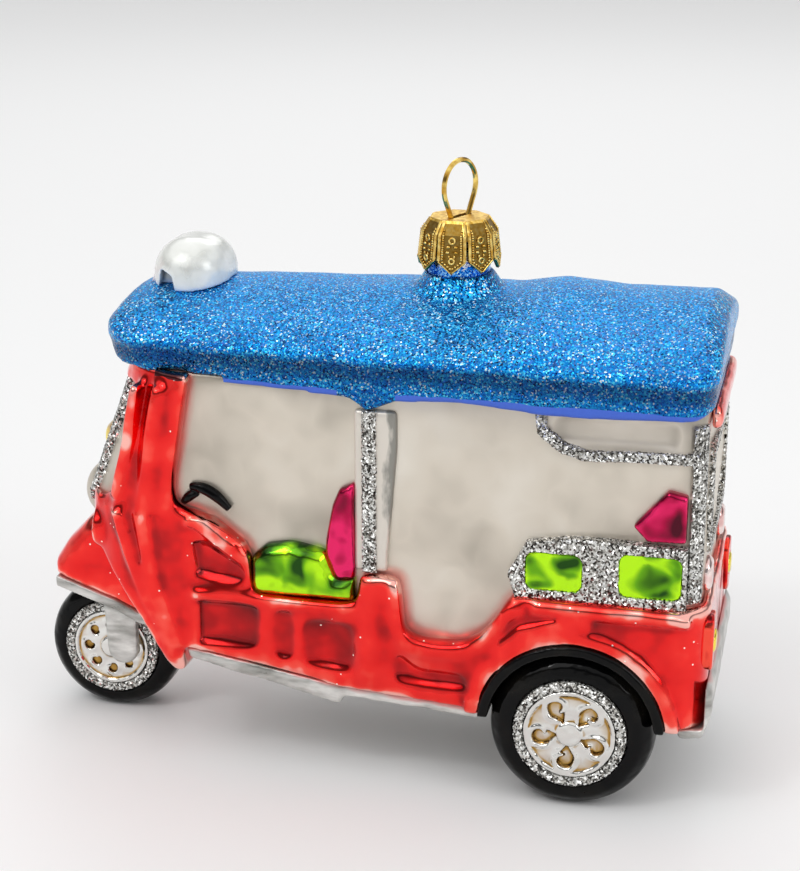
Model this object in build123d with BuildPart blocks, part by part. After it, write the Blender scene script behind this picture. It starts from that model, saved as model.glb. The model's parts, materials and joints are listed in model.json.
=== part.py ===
"""Hanging glass ornament in the shape of a three-wheeled auto-rickshaw.

The figure is one mould-blown glass vessel. Its nodes are the moulded forms that the lacquer
sets apart, and they stay on one body. A crimped metal cap lifts off the glass neck, and a
sprung wire hanger leans in the cap's two holes.
X points forward, Y to the vehicle's left and Z up. The origin lies on the shelf, under the
middle of the bounding box. All sizes are in millimetres.
"""
import os
from math import cos, radians, sin

from build123d import *

# Front axle. The front end keeps its proportions when the axle moves.
front_x = 46.2
axle_drawn_x = 46.2
front_share = front_x / axle_drawn_x

# Cabin: the pearl glass box that all the relief stands on
cabin_half = 18.9
cabin_rear = -54.0
cabin_top = 66.0
cabin_wall = 1.3
screen_corner = 11.0
rear_corner = 4.0
screen_top_x = 39.0 * front_share
screen_brow_z = 60.0
screen_foot_x = 45.4 * front_share
screen_foot_z = 43.0
chin_x = 43.6 * front_share
chin_z = 36.0

# Floor line, from the front of the step to the tail
floor_front_x = 27.2 * front_share
floor_front_z = 20.8
floor_step_x = 1.4 * front_share
floor_step_z = 16.5
floor_rear_x = -23.0
floor_rear_z = 14.8
pan_thick = 1.9
bumper_proud = 1.2
tail_lamp_z = 28.2

# Red skin over the cabin
skin = 2.4
skin_front_setback = 1.7
skin_rear = 1.4
rib_proud = 0.8
pillar_foot_x = 28.3 * front_share
pillar_head_x = 25.4 * front_share
dash_z = 44.2
dash_end_x = 15.7 * front_share
dash_end_z = 37.4
seat_ledge_z = 31.0
post_front_x = -1.4
post_rear_x = -8.2
post_z = 36.0
door_sill_z = 25.8
door_rear_x = -25.6
quarter_z = 34.2
panel_depth = 0.8
press_depth = 1.2

# Leg shield and front lamps
shield_foot_x = 28.8 * front_share
shield_foot_z = 16.6
shield_nose_x = 44.6 * front_share
shield_nose_z = 39.0
shield_waist_x = 40.4 * front_share
shield_waist_z = 33.6
pod_r = 3.5
pod_wall = 0.9
pod_cup = 2.2
pod_front_x = 43.0 * front_share
pod_z = 38.6
headlamp_r = 5.2
headlamp_z = 38.9
boss_r = 3.3
boss_z = 48.4
boss_proud = 3.2

# Wheels
front_r = 11.5
front_half = 4.6
front_pocket_count = 8
rear_r = 13.0
rear_x = -35.2
rear_stand_off = 3.5
rear_width = 9.4
front_tyre_wall = 3.2
rear_tyre_wall = 4.1
rear_pocket_count = 5
arch_thick = 1.5
brow_width = 2.2
brow_proud = 1.0
ring_width = 1.7
ring_proud = 0.35
hub_dish = 0.9
fork_half = 2.6
fork_thick = 1.5

# Mudguard over the front wheel
guard_half = 7.4
guard_rim = 1.9
wheel_gap = 0.8

# Roof canopy
roof_lip_z = 64.3
crease_z = 69.6
roof_wall = 2.2
rim_inset = 0.5
roof_front_x = 41.2 * front_share
roof_rear_x = -55.3
lamp_x = 30.3 * front_share
lamp_r = 6.2
lamp_half = 7.6
lamp_top_z = 83.2
lamp_waist = 3.0

# Neck, cap and hanger
neck_x = -12.8
neck_r = 4.9
neck_bore_r = 4.0
neck_chamfer = 0.7
neck_foot_z = 74.2
collar_r = 7.8
cap_sides = 8
cap_top_z = 88.4
cap_shoulder_z = 86.4
cap_tip_z = 80.4
cap_point = 1.9
cap_top_apothem = 4.3
cap_shoulder_apothem = 5.6
cap_foot_apothem = 6.25
cap_sheet = 0.4
cap_slit = 0.6
wire_r = 0.42
wire_sides = 8
hole_clear = 0.15
leg_x = 2.1
leg_foot_x = 2.9
leg_foot_z = 83.0
loop_r = 4.0
loop_top_z = 97.5
hanger_turn = 64.0

# Sizes that follow from those above
skin_half = cabin_half + skin
front_hub_r = front_r - front_tyre_wall
rear_hub_r = rear_r - rear_tyre_wall
rear_face = cabin_half + rear_stand_off
roof_front_half = cabin_half - 0.3
roof_mid_half = cabin_half + 2.9
roof_rear_half = cabin_half + 4.0
floor_slope = (floor_front_z - floor_step_z) / (floor_front_x - floor_step_x)
neck_top = cap_shoulder_z + 0.8
pod_y = cabin_half - 3.3

os.makedirs("parts", exist_ok=True)


def fore(points):
    """Outline points; those ahead of the middle move in step with the front axle."""
    return [(x * front_share if x > 0 else x, z) for x, z in points]


def side_plane(y):
    """Plane of the left side at distance y, drawn in x and z; a negative extrusion goes outwards."""
    return Plane.XZ.offset(-y)


def front_tool(front, half):
    """Block with round front corners. Above the screen's foot it leans back with the screen."""
    lean = (screen_foot_x - screen_top_x) / (screen_brow_z - screen_foot_z)
    with BuildPart() as tool:
        for level, top, drift in ((0, screen_foot_z, 0), (screen_foot_z, 2 * cabin_top, -lean)):
            with BuildSketch(Plane.XY.offset(level)):
                with Locations((front, 0)):
                    Rectangle(4 * cabin_top, 2 * half, align=(Align.MAX, Align.CENTER))
                fillet(vertices().group_by(Axis.X)[-1], screen_corner)
            extrude(amount=top - level, dir=(drift, 0, 1))
    return tool.part


def walled_form(half, front, rear, top, corner, grow=0.0):
    """The cabin's side outline, moved to the given front and rear, crossed with its round corners."""
    back = front - screen_foot_x
    with BuildPart() as form:
        with BuildSketch(Plane.XZ):
            with BuildLine():
                Polyline(
                    (rear, top),
                    (screen_top_x + back, top),
                    (screen_top_x + back, screen_brow_z),
                    (screen_foot_x + back, screen_foot_z),
                    (chin_x + back, chin_z),
                    (floor_front_x + 3.4 * front_share + min(back, 0.0), floor_front_z - grow),
                    (floor_front_x, floor_front_z - grow),
                    (floor_step_x, floor_step_z - grow),
                    (floor_rear_x, floor_rear_z - grow),
                    (rear, floor_rear_z - grow),
                    close=True,
                )
            make_face()
        extrude(amount=half, both=True)
        add(front_tool(front, half), mode=Mode.INTERSECT)
        with BuildSketch():
            with Locations((rear, 0)):
                Rectangle(4 * cabin_top, 2 * half, align=(Align.MIN, Align.CENTER))
            fillet(vertices().group_by(Axis.X)[0], corner)
        extrude(amount=2 * cabin_top, mode=Mode.INTERSECT)
    return form.part


def cabin_form(grow=0.0):
    """Outer form of the pearl cabin, grown outwards by grow."""
    return walled_form(
        cabin_half + grow, screen_foot_x + grow, cabin_rear - grow, cabin_top, rear_corner + grow, grow
    )


def skin_form():
    """Outer form of the red lacquered skin, wider than the cabin and set back at the screen."""
    front = screen_foot_x - skin_front_setback
    return walled_form(skin_half, front, cabin_rear - skin_rear, cabin_top, rear_corner + skin_rear)


def left_prism(points, depth=14.0):
    """Block with the given outline in x and z, standing outwards from inside the left wall."""
    with BuildPart() as block:
        with BuildSketch(side_plane(cabin_half - depth)):
            with BuildLine():
                Polyline(*points, close=True)
            make_face()
        extrude(amount=-2 * depth)
    return block.part


def relief(points, proud, edge=0.0, base=0.0):
    """Flat relief on both side walls, its outer edge rounded by edge."""
    with BuildPart() as piece:
        with BuildSketch(side_plane(cabin_half + base)):
            with BuildLine():
                Polyline(*points, close=True)
            make_face()
        extrude(amount=-proud)
        if edge:
            chamfer(faces().sort_by(Axis.Y)[-1].edges(), edge)
        mirror(about=Plane.XZ)
    return piece.part


def save(part, name):
    """Labels one node and writes its file."""
    part.label = name
    export_step(part, "parts/" + name + ".step")
    print(name, len(part.solids()), round(part.volume, 1), part.is_valid)


cabin_solid = cabin_form()
skin_solid = skin_form()
well_r = rear_r + arch_thick
well_y = rear_face - rear_width

# Both wheel wells, as one cutter
with BuildPart() as wells:
    with BuildSketch(side_plane(well_y)):
        with Locations((rear_x, rear_r)):
            Circle(well_r)
    extrude(amount=-2 * rear_width)
    mirror(about=Plane.XZ)

# Hollow of the blown vessel
with BuildPart() as hollow:
    inner_half = cabin_half - cabin_wall - panel_depth
    upper_z = rear_r + well_r + cabin_wall
    with BuildSketch(Plane.XZ):
        with BuildLine():
            Polyline(
                (cabin_rear + cabin_wall, cabin_top),
                (screen_top_x - 2 * cabin_wall, cabin_top),
                (screen_top_x - 2 * cabin_wall, screen_brow_z),
                (screen_foot_x - 3 * cabin_wall, screen_foot_z),
                (chin_x - 3 * cabin_wall, chin_z),
                (floor_front_x, floor_front_z + cabin_wall),
                (rear_x + well_r + cabin_wall, floor_front_z + cabin_wall),
                (rear_x + well_r + cabin_wall, upper_z),
                (cabin_rear + cabin_wall, upper_z),
                close=True,
            )
        make_face()
    extrude(amount=inner_half, both=True)
    add(front_tool(screen_foot_x - 2 * cabin_wall, inner_half), mode=Mode.INTERSECT)

# Cabin: pearl glass, hollow, with the pressed quarter panels
with BuildPart() as cabin:
    add(cabin_solid)
    add(hollow.part, mode=Mode.SUBTRACT)
    add(wells.part, mode=Mode.SUBTRACT)
    for y, out in ((cabin_half, 1), (-cabin_half, -1)):
        with BuildSketch(side_plane(y)):
            with Locations((-40.4, 61.0)):
                RectangleRounded(18.6, 3.8, 1.2)
        extrude(amount=out * panel_depth, mode=Mode.SUBTRACT)
save(cabin.part, "cabin")

# Lower body: red lacquer round the sides and the tail, with the pressed door panels
shield_ridge = [
    *fore(((32.6, dash_z), (31.9, 39.4), (31.0, 32.4), (29.3, 27.1), (27.6, 22.4))),
    (floor_front_x, floor_front_z),
]
body_outline = (
    *shield_ridge,
    (floor_front_x, floor_rear_z / 2),
    (2 * cabin_rear, floor_rear_z / 2),
    (2 * cabin_rear, quarter_z),
    (door_rear_x, quarter_z),
    (door_rear_x + 1.5, quarter_z - 2.1),
    (-21.5, 28.3),
    (-17.8, door_sill_z),
    (-11.2, door_sill_z),
    (-8.8, door_sill_z + 1.2),
    (post_rear_x, post_z),
    (post_front_x, post_z),
    (post_front_x, seat_ledge_z),
    (dash_end_x, seat_ledge_z),
    (dash_end_x, dash_end_z),
    *fore(((16.6, 38.8), (20.6, 41.8), (23.8, 43.8), (27.0, dash_z))),
)
# Pressed panels: under the dash, three under the seat ledge, one under the door
pressed_panels = (
    ((24.6, 33.4), (25.4, 39.0), (23.2, 39.2), (16.6, 35.2), (16.8, 32.8)),
    ((24.4, 21.8), (24.4, 29.2), (14.4, 29.2), (14.8, 21.6)),
    ((12.6, 20.8), (12.2, 28.6), (8.8, 28.6), (8.9, 20.3)),
    ((7.6, 20.0), (7.4, 27.4), (-0.9, 27.4), (-0.9, 19.4)),
    ((-7.2, 18.6), (-7.2, 23.4), (-11.4, 20.8), (-18.4, 20.8), (-19.2, 18.2)),
)
# Raised ribs, each with a width and a line: dash, seat ledge, post, door lip, brow, belt
door_lip = (
    *((-7.0, 35.0), (-7.4, 28.0), (-9.8, 24.4)),
    *((-17.9, 24.4), (-20.9, 26.2), (-24.8, 31.6), (-27.0, 33.0)),
)
body_ribs = (
    (1.9, ((26.2, 42.9), (24.2, 42.6), (21.4, 40.4), (18.2, 37.8), (16.8, 36.6))),
    (1.3, ((25.2, 30.3), (-1.0, 30.3))),
    (2.7, ((-3.3, 35.2), (-3.3, 17.4))),
    (1.8, door_lip),
    (1.3, ((-23.2, 25.2), (-27.2, 29.0), (-33.2, 30.9), (-38.0, 31.0))),
    (1.5, ((-29.0, 33.0), (-52.8, 32.8))),
)
with BuildPart() as lower_body:
    add(skin_solid)
    add(cabin_solid, mode=Mode.SUBTRACT)
    with BuildSketch(side_plane(0)):
        with BuildLine():
            Polyline(*body_outline, close=True)
        make_face()
    extrude(amount=2 * cabin_half, both=True, mode=Mode.INTERSECT)
    for y, out in ((skin_half, 1), (-skin_half, -1)):
        for panel in pressed_panels:
            with BuildSketch(side_plane(y)):
                with BuildLine():
                    Polyline(*fore(panel), close=True)
                make_face()
            extrude(amount=out * press_depth, mode=Mode.SUBTRACT)
        for width, line in body_ribs:
            with BuildSketch(side_plane(y)):
                with BuildLine():
                    Polyline(*fore(line))
                trace(line_width=width)
            extrude(amount=-out * rib_proud)
        with BuildSketch(side_plane(y)):
            with Locations((rear_x, rear_r)):
                Circle(well_r + brow_width)
            with Locations((rear_x, 0)):
                Rectangle(4 * well_r, 2 * (rear_r + arch_thick), mode=Mode.SUBTRACT)
        extrude(amount=-out * brow_proud)
    add(wells.part, mode=Mode.SUBTRACT)
save(lower_body.part, "lower_body")

# Front pillars: red, with three raised ribs, joined by the header over the windscreen
pillar_outline = (
    (pillar_foot_x, dash_z),
    *fore(((28.2, 48.4), (27.1, 54.8))),
    (pillar_head_x, roof_lip_z),
    (pillar_head_x, cabin_top),
    *fore(((34.9, cabin_top), (35.1, 62.5), (36.8, 53.2), (38.6, 46.8), (40.8, dash_z))),
)
# Ribs down the pillar: width, height above the cabin wall, line
pillar_ribs = (
    (1.9, skin + 0.2, ((33.9, 64.0), (35.6, 54.0), (38.2, 45.0))),
    (2.2, skin + rib_proud, ((30.0, 64.0), (31.4, 56.0), (32.4, 48.0), (32.8, dash_z))),
    (1.2, skin + 0.5, ((26.4, 64.0), (28.0, 54.8), (29.1, 48.4), (29.2, dash_z))),
)
with BuildPart() as front_pillars:
    add(skin_solid)
    add(cabin_solid, mode=Mode.SUBTRACT)
    add(left_prism(pillar_outline), mode=Mode.INTERSECT)
    for width, proud, line in pillar_ribs:
        with BuildSketch(side_plane(cabin_half)):
            with BuildLine():
                Polyline(*fore(line))
            trace(line_width=width)
        extrude(amount=-proud)
    split(bisect_by=Plane.XY.offset(dash_z), keep=Keep.TOP)
    mirror(about=Plane.XZ)
    with BuildSketch(Plane.XZ):
        with Locations((pillar_head_x + 6.0, cabin_top)):
            Rectangle(2 * screen_foot_x, 3.2, align=(Align.MIN, Align.MAX))
    header = extrude(amount=cabin_half, both=True, mode=Mode.PRIVATE)
    add(cabin_form(0.9) & header)
    add(cabin_solid, mode=Mode.SUBTRACT)
save(front_pillars.part, "front_pillars")

# Mudguard over the front wheel, with a painted rim below it
# Foot of the dome, measured from the wheel's middle: x, z
guard_line = ((-13.2, 7.3), (-6.4, 8.1), (-2.1, 10.2), (8.2, 13.7))
guard_foot = [(front_x + x, front_r + z) for x, z in guard_line]
rim_foot = [(x, z - guard_rim) for x, z in reversed(guard_foot)]
with BuildPart() as front_well:
    with BuildSketch(Plane.XZ):
        with Locations((front_x, front_r)):
            Circle(front_r + wheel_gap)
    extrude(amount=front_half + wheel_gap, both=True)
with BuildPart() as guard:
    with BuildSketch(Plane.XZ):
        with BuildLine():
            Polyline(
                *guard_foot,
                (front_x + 8.9, front_r + 15.6),
                (front_x + 6.6, front_r + 19.2),
                (front_x + 2.6, front_r + 23.6),
                (front_x - 3.2, front_r + 26.9),
                (front_x - 16.2, front_r + 22.5),
                close=True,
            )
        make_face()
    extrude(amount=guard_half, both=True)
    side_edges = edges().filter_by(GeomType.LINE).filter_by(Axis.Y, reverse=True)
    upper = side_edges.filter_by_position(Axis.Z, front_r + 16.0, front_r + 26.0)
    fillet(upper.filter_by_position(Axis.X, front_x - 1.0, front_x + 8.2), 0.43 * guard_half)
    add(front_well.part, mode=Mode.SUBTRACT)
    add(cabin_solid, mode=Mode.SUBTRACT)
save(guard.part, "front_guard")
with BuildPart() as guard_edge:
    with BuildSketch(Plane.XZ):
        with BuildLine():
            Polyline(*guard_foot, *rim_foot, close=True)
        make_face()
    extrude(amount=guard_half + 0.5, both=True)
    add(front_well.part, mode=Mode.SUBTRACT)
    add(cabin_solid, mode=Mode.SUBTRACT)
save(guard_edge.part, "guard_rim")

# Leg shield: red, wrapped round the nose, split where the mudguard passes
with BuildPart() as leg_shield:
    with BuildSketch(Plane.XZ):
        with BuildLine():
            Polyline(
                *shield_ridge,
                (shield_foot_x - 1.7, shield_foot_z),
                (shield_foot_x, shield_foot_z),
                *fore(((30.2, 17.8), (31.8, 20.6), (34.2, 25.0), (37.4, 29.6))),
                (shield_waist_x, shield_waist_z),
                (shield_nose_x, shield_nose_z),
                (shield_nose_x, dash_z),
                close=True,
            )
        make_face()
    extrude(amount=skin_half, both=True)
    with BuildSketch():
        with Locations((shield_nose_x, 0)):
            Rectangle(2 * shield_nose_x, 2 * skin_half, align=(Align.MAX, Align.CENTER))
        fillet(vertices().group_by(Axis.X)[-1], screen_corner)
    extrude(amount=2 * cabin_top, mode=Mode.INTERSECT)
    for y, out in ((cabin_half, 1), (-cabin_half, -1)):
        for width, proud, line in (
            (2.0, rib_proud, [(x + 1.1, z) for x, z in shield_ridge]),
            (1.8, 0.5, fore(((37.8, 43.6), (35.6, 35.7), (32.9, 29.1), (30.2, 23.4), (28.6, 18.4)))),
        ):
            with BuildSketch(side_plane(y)):
                with BuildLine():
                    Polyline(*line)
                trace(line_width=width)
            extrude(amount=-out * (skin + proud))
    add(cabin_solid, mode=Mode.SUBTRACT)
    with BuildSketch():
        with Locations((shield_nose_x, 0)):
            Rectangle(2 * shield_nose_x, 2 * guard_half + 1.0)
    extrude(amount=cabin_top, mode=Mode.SUBTRACT)
    add(lower_body.part, mode=Mode.SUBTRACT)
    add(front_pillars.part, mode=Mode.SUBTRACT)
save(leg_shield.part, "leg_shield")

# Lamp pods: hollow-fronted cups at the corners of the shield
with BuildPart() as lamp_pods:
    with BuildSketch(Plane.YZ.offset(pod_front_x)):
        with Locations((pod_y, pod_z)):
            Circle(pod_r)
    extrude(amount=-3 * pod_r)
    with BuildSketch(Plane.YZ.offset(pod_front_x)):
        with Locations((pod_y, pod_z)):
            Circle(pod_r - pod_wall)
    extrude(amount=-pod_cup, mode=Mode.SUBTRACT)
    add(cabin_solid, mode=Mode.SUBTRACT)
    add(leg_shield.part, mode=Mode.SUBTRACT)
    add(lower_body.part, mode=Mode.SUBTRACT)
    mirror(about=Plane.XZ)
save(lamp_pods.part, "lamp_pods")

# Windscreen relief: glitter frame, lacquered boss and headlamp
screen_shell = cabin_form(0.6)
with BuildPart() as screen_frame:
    add(screen_shell)
    add(cabin_solid, mode=Mode.SUBTRACT)
    with BuildSketch(Plane.YZ):
        with Locations((0, 51.6)):
            RectangleRounded(2 * (cabin_half - 5.6), 21.8, 3.2)
            RectangleRounded(2 * (cabin_half - 7.1), 18.8, 2.0, mode=Mode.SUBTRACT)
    extrude(amount=2 * screen_foot_x, mode=Mode.INTERSECT)
    add(front_pillars.part, mode=Mode.SUBTRACT)
    add(leg_shield.part, mode=Mode.SUBTRACT)
save(screen_frame.part, "screen_frame")
with BuildPart() as screen_boss:
    with BuildSketch(Plane.YZ.offset(screen_foot_x - 2.0 + boss_proud)):
        with Locations((0, boss_z)):
            Circle(boss_r)
    extrude(amount=-boss_proud - 2 * boss_r)
    chamfer(faces().sort_by(Axis.X)[-1].edges(), 0.5 * boss_r)
    add(cabin_solid, mode=Mode.SUBTRACT)
save(screen_boss.part, "screen_boss")
with BuildPart() as headlamp:
    with Locations((screen_foot_x, 0, headlamp_z)):
        Sphere(headlamp_r)
    add(cabin_solid, mode=Mode.SUBTRACT)
    add(screen_boss.part, mode=Mode.SUBTRACT)
    add(guard.part, mode=Mode.SUBTRACT)
    add(screen_frame.part, mode=Mode.SUBTRACT)
save(headlamp.part, "headlamp")


def wheel_plane(x, z):
    """Plane across a wheel: the first axis runs to the left and the second runs up."""
    return Plane(origin=(x, 0, z), x_dir=(0, 1, 0), z_dir=(1, 0, 0))


front_axis = Axis((front_x, 0, front_r), (0, 1, 0))
rear_axis = Axis((rear_x, 0, rear_r), (0, 1, 0))

# Tyres: the shoulder's bevels as parts of its size, in across the tyre and down from the tread
shoulder = ((0.0, 1.0), (0.13, 0.5), (0.5, 0.13), (1.0, 0.0))


def tyre(plane, axis, inner, face, radius, hub_radius):
    """One tyre, with a seat for the hub on its outer face, and on its inner face if that is the mirror."""
    size = 0.9 * (radius - hub_radius)
    outer = [(face - size * across, radius - size * down) for across, down in shoulder]
    if inner < 0:
        tread = [(-y, z) for y, z in reversed(outer)]
        hub_seat = [(-face, hub_radius), (hub_dish - face, hub_radius), (hub_dish - face, 0)]
    else:
        tread = [(inner, radius)]
        hub_seat = [(inner, 0)]
    with BuildPart() as ring:
        with BuildSketch(plane):
            with BuildLine():
                Polyline(
                    (face - hub_dish, 0), (face - hub_dish, hub_radius), (face, hub_radius),
                    *outer, *tread, *hub_seat, close=True,
                )
            make_face()
        revolve(axis=axis)
    return ring.part


with BuildPart() as front_tyre:
    add(tyre(wheel_plane(front_x, front_r), front_axis, -front_half, front_half, front_r, front_hub_r))
save(front_tyre.part, "front_tyre")
with BuildPart() as rear_tyres:
    add(tyre(wheel_plane(rear_x, rear_r), rear_axis, well_y, rear_face, rear_r, rear_hub_r))
    mirror(about=Plane.XZ)
save(rear_tyres.part, "rear_tyres")

# Hubs and their rings: end, x, z, face, outer radius, then the pockets' count, radius, tail, start
hub_rows = (
    ("front", front_x, front_r, front_half, front_hub_r, front_pocket_count, 0.12, 0.0, 90),
    ("rear", rear_x, rear_r, rear_face, rear_hub_r, rear_pocket_count, 0.18, 0.31, 61),
)
for end, x, z, face, outer, count, pocket, tail, first in hub_rows:
    inner = outer - ring_width
    with BuildPart() as hub:
        with BuildSketch(side_plane(face - hub_dish)):
            with Locations((x, z)):
                Circle(inner)
        extrude(amount=-hub_dish - ring_proud)
        with BuildSketch(side_plane(face + ring_proud)):
            with Locations((x, z)):
                Circle(0.91 * inner)
                Circle(0.27 * inner, mode=Mode.SUBTRACT)
        extrude(amount=0.4, mode=Mode.SUBTRACT)
        with BuildSketch(side_plane(face)):
            with Locations((x, z)):
                with PolarLocations(0.63 * inner, count, start_angle=first):
                    RegularPolygon(pocket * outer, 8)
                    if tail:
                        Polygon((0, -pocket * outer), (0, pocket * outer), (-tail * outer, 0), align=None)
        extrude(amount=0.75 * hub_dish, mode=Mode.SUBTRACT)
        mirror(about=Plane.XZ)
    save(hub.part, end + "_hubs")
    with BuildPart() as ring:
        with BuildSketch(side_plane(face - hub_dish)):
            with Locations((x, z)):
                Circle(outer)
                Circle(inner, mode=Mode.SUBTRACT)
        extrude(amount=-hub_dish - ring_proud)
        mirror(about=Plane.XZ)
    save(ring.part, end + "_hub_rings")

# Fork covers over the front hubs
with BuildPart() as fork_covers:
    with BuildSketch(side_plane(front_half + ring_proud)):
        with BuildLine():
            Polyline(
                (front_x - 5.2, 2 * front_r),
                (front_x - 2 * fork_half, front_r + 0.5),
                (front_x, front_r + 0.5),
                (front_x + 0.6, 2 * front_r),
                close=True,
            )
        make_face()
        with Locations((front_x - fork_half, front_r + 0.5)):
            Circle(fork_half)
    extrude(amount=-fork_thick)
    add(guard.part, mode=Mode.SUBTRACT)
    add(guard_edge.part, mode=Mode.SUBTRACT)
    mirror(about=Plane.XZ)
save(fork_covers.part, "fork_covers")

# Black arches that fill the wells above the rear tyres
with BuildPart() as rear_arches:
    with BuildSketch(side_plane(well_y)):
        with Locations((rear_x, rear_r)):
            Circle(well_r)
            Circle(rear_r + 0.1, mode=Mode.SUBTRACT)
        with Locations((rear_x, 0)):
            Rectangle(4 * well_r, 2 * (rear_r + arch_thick), mode=Mode.SUBTRACT)
    extrude(amount=-(rear_width + 0.2))
    mirror(about=Plane.XZ)
save(rear_arches.part, "rear_arches")

# Underside: painted sills, the bright floor strip and the bumper
with BuildPart() as sills:
    with BuildSketch(side_plane(cabin_half - 4.3)):
        with BuildLine():
            Polyline(
                (floor_front_x, floor_front_z),
                (floor_step_x, floor_step_z),
                (floor_step_x, 13.2),
                *fore(((8.5, 14.7), (14.2, 16.1), (21.8, 17.8), (26.6, 18.8))),
                close=True,
            )
        make_face()
    extrude(amount=-6.4)
    mirror(about=Plane.XZ)
save(sills.part, "sills")
with BuildPart() as floor_pan:
    with BuildSketch(Plane.XZ):
        with BuildLine():
            Polyline(
                (floor_front_x - 0.6, floor_front_z - 0.6 * floor_slope),
                (floor_step_x, floor_step_z),
                (floor_rear_x, floor_rear_z),
                (cabin_rear + 3.0, floor_rear_z),
                (cabin_rear + 3.0, floor_rear_z - pan_thick),
                (floor_rear_x, floor_rear_z - pan_thick),
                (floor_step_x, floor_step_z - pan_thick),
                (floor_front_x - 2.0, floor_front_z - pan_thick),
                close=True,
            )
        make_face()
    extrude(amount=cabin_half + 1.5, both=True)
    with BuildSketch(Plane.XY):
        for out, side in ((1, Align.MIN), (-1, Align.MAX)):
            with Locations((floor_step_x, out * (cabin_half - 4.3))):
                Rectangle(3 * front_x, cabin_half, align=(Align.MIN, side))
            with Locations((floor_rear_x + 1.0, out * (well_y - 1.0))):
                Rectangle(3 * front_x, cabin_half, align=(Align.MAX, side))
    extrude(amount=cabin_top, mode=Mode.SUBTRACT)
    add(wells.part, mode=Mode.SUBTRACT)
save(floor_pan.part, "floor_pan")
tail_x = cabin_rear - skin_rear
with BuildPart() as bumper:
    with BuildSketch(Plane.XZ):
        with BuildLine():
            Polyline(
                (tail_x + 4.4, floor_rear_z),
                (tail_x + 3.6, floor_rear_z - 1.9),
                (tail_x + 0.1, floor_rear_z - 1.4),
                (tail_x - bumper_proud, floor_rear_z + 2.2),
                (tail_x - bumper_proud, floor_rear_z + 5.8),
                (tail_x, floor_rear_z + 7.4),
                (tail_x, floor_rear_z),
                close=True,
            )
        make_face()
    extrude(amount=cabin_half + 1.7, both=True)
    chamfer(edges().filter_by(Axis.Z).sort_by(Axis.X)[:2], 1.0)
save(bumper.part, "bumper")

# Tail: lamps with their lenses, marker lamps, window frame and header
with BuildPart() as tail_lamps:
    with BuildSketch(Plane.YZ.offset(tail_x)):
        with Locations((skin_half - 5.2, tail_lamp_z)):
            RectangleRounded(5.4, 9.0, 2.0)
            Circle(1.9, mode=Mode.SUBTRACT)
    extrude(amount=-0.7)
    mirror(about=Plane.XZ)
save(tail_lamps.part, "tail_lamps")
with BuildPart() as tail_lenses:
    with BuildSketch(Plane.YZ.offset(tail_x)):
        with Locations((skin_half - 5.2, tail_lamp_z)):
            Circle(1.9)
    extrude(amount=-1.0)
    chamfer(faces().sort_by(Axis.X)[0].edges(), 0.4)
    mirror(about=Plane.XZ)
save(tail_lenses.part, "tail_lenses")
with BuildPart() as marker_lamps:
    with BuildSketch(Plane.YZ.offset(cabin_rear)):
        with Locations((cabin_half - 7.0, 37.4)):
            RectangleRounded(5.0, 5.2, 2.0)
    extrude(amount=-1.1)
    chamfer(faces().sort_by(Axis.X)[0].edges(), 0.6)
    mirror(about=Plane.XZ)
save(marker_lamps.part, "marker_lamps")
with BuildPart() as rear_frame:
    with BuildSketch(Plane.YZ.offset(cabin_rear)):
        with Locations((0, 49.4)):
            RectangleRounded(2 * (cabin_half - 4.6), 17.2, 3.0)
            RectangleRounded(2 * (cabin_half - 6.1), 14.2, 1.8, mode=Mode.SUBTRACT)
    extrude(amount=-0.7)
save(rear_frame.part, "rear_frame")
with BuildPart() as rear_header:
    with BuildSketch(Plane.YZ.offset(cabin_rear)):
        with Locations((0, roof_lip_z - 1.3)):
            RectangleRounded(2 * (cabin_half - 3.8), 3.4, 1.2)
    extrude(amount=-1.6)
    chamfer(faces().sort_by(Axis.X)[0].edges(), 0.6)
save(rear_header.part, "rear_header")

# Side relief: seats, handlebar, posts and the glitter lines
cushion = (
    *((15.6, 31.1), (15.6, 36.9), (13.5, 38.9), (9.3, 39.6)),
    *((4.1, 38.6), (2.3, 34.3), (-0.6, 34.6), (-0.6, 31.1)),
)
save(relief(fore(cushion), 2.4, 1.1), "driver_cushion")
backrest = ((-0.6, 34.7), (2.2, 34.4), (3.8, 38.3), (3.6, 41.0), (2.6, 46.4), (1.5, 49.1), (-0.6, 50.2))
save(relief(fore(backrest), 1.5, 0.5), "driver_backrest")
post = ((-0.7, post_z + 0.1), (-0.7, 62.2), (-7.3, 62.2), (-7.3, 56.5), (-5.8, 38.8), (-5.8, post_z + 0.1))
save(relief(post, 1.0), "middle_posts")
post_strip = ((-2.0, post_z + 0.1), (-2.0, 62.2), (-4.2, 62.2), (-4.2, post_z + 0.1))
save(relief(post_strip, 0.6, 0.2, 1.0), "post_strips")
bench_back = ((-43.6, 47.0), (-48.6, 52.8), (-51.4, 52.1), (-51.4, 44.9), (-45.7, 44.7))
save(relief(bench_back, 1.3, 0.4), "bench_backrest")

with BuildPart() as handlebar:
    with BuildSketch(side_plane(cabin_half)):
        with BuildLine():
            Polyline(*fore(((27.0, 44.9), (25.8, 46.2), (24.6, 46.6))))
            Polyline(*fore(((25.8, 47.8), (23.4, 47.2), (21.4, 46.1), (19.6, 44.4))))
        trace(line_width=1.9)
    extrude(amount=-1.3)
    mirror(about=Plane.XZ)
save(handlebar.part, "handlebar")

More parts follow.
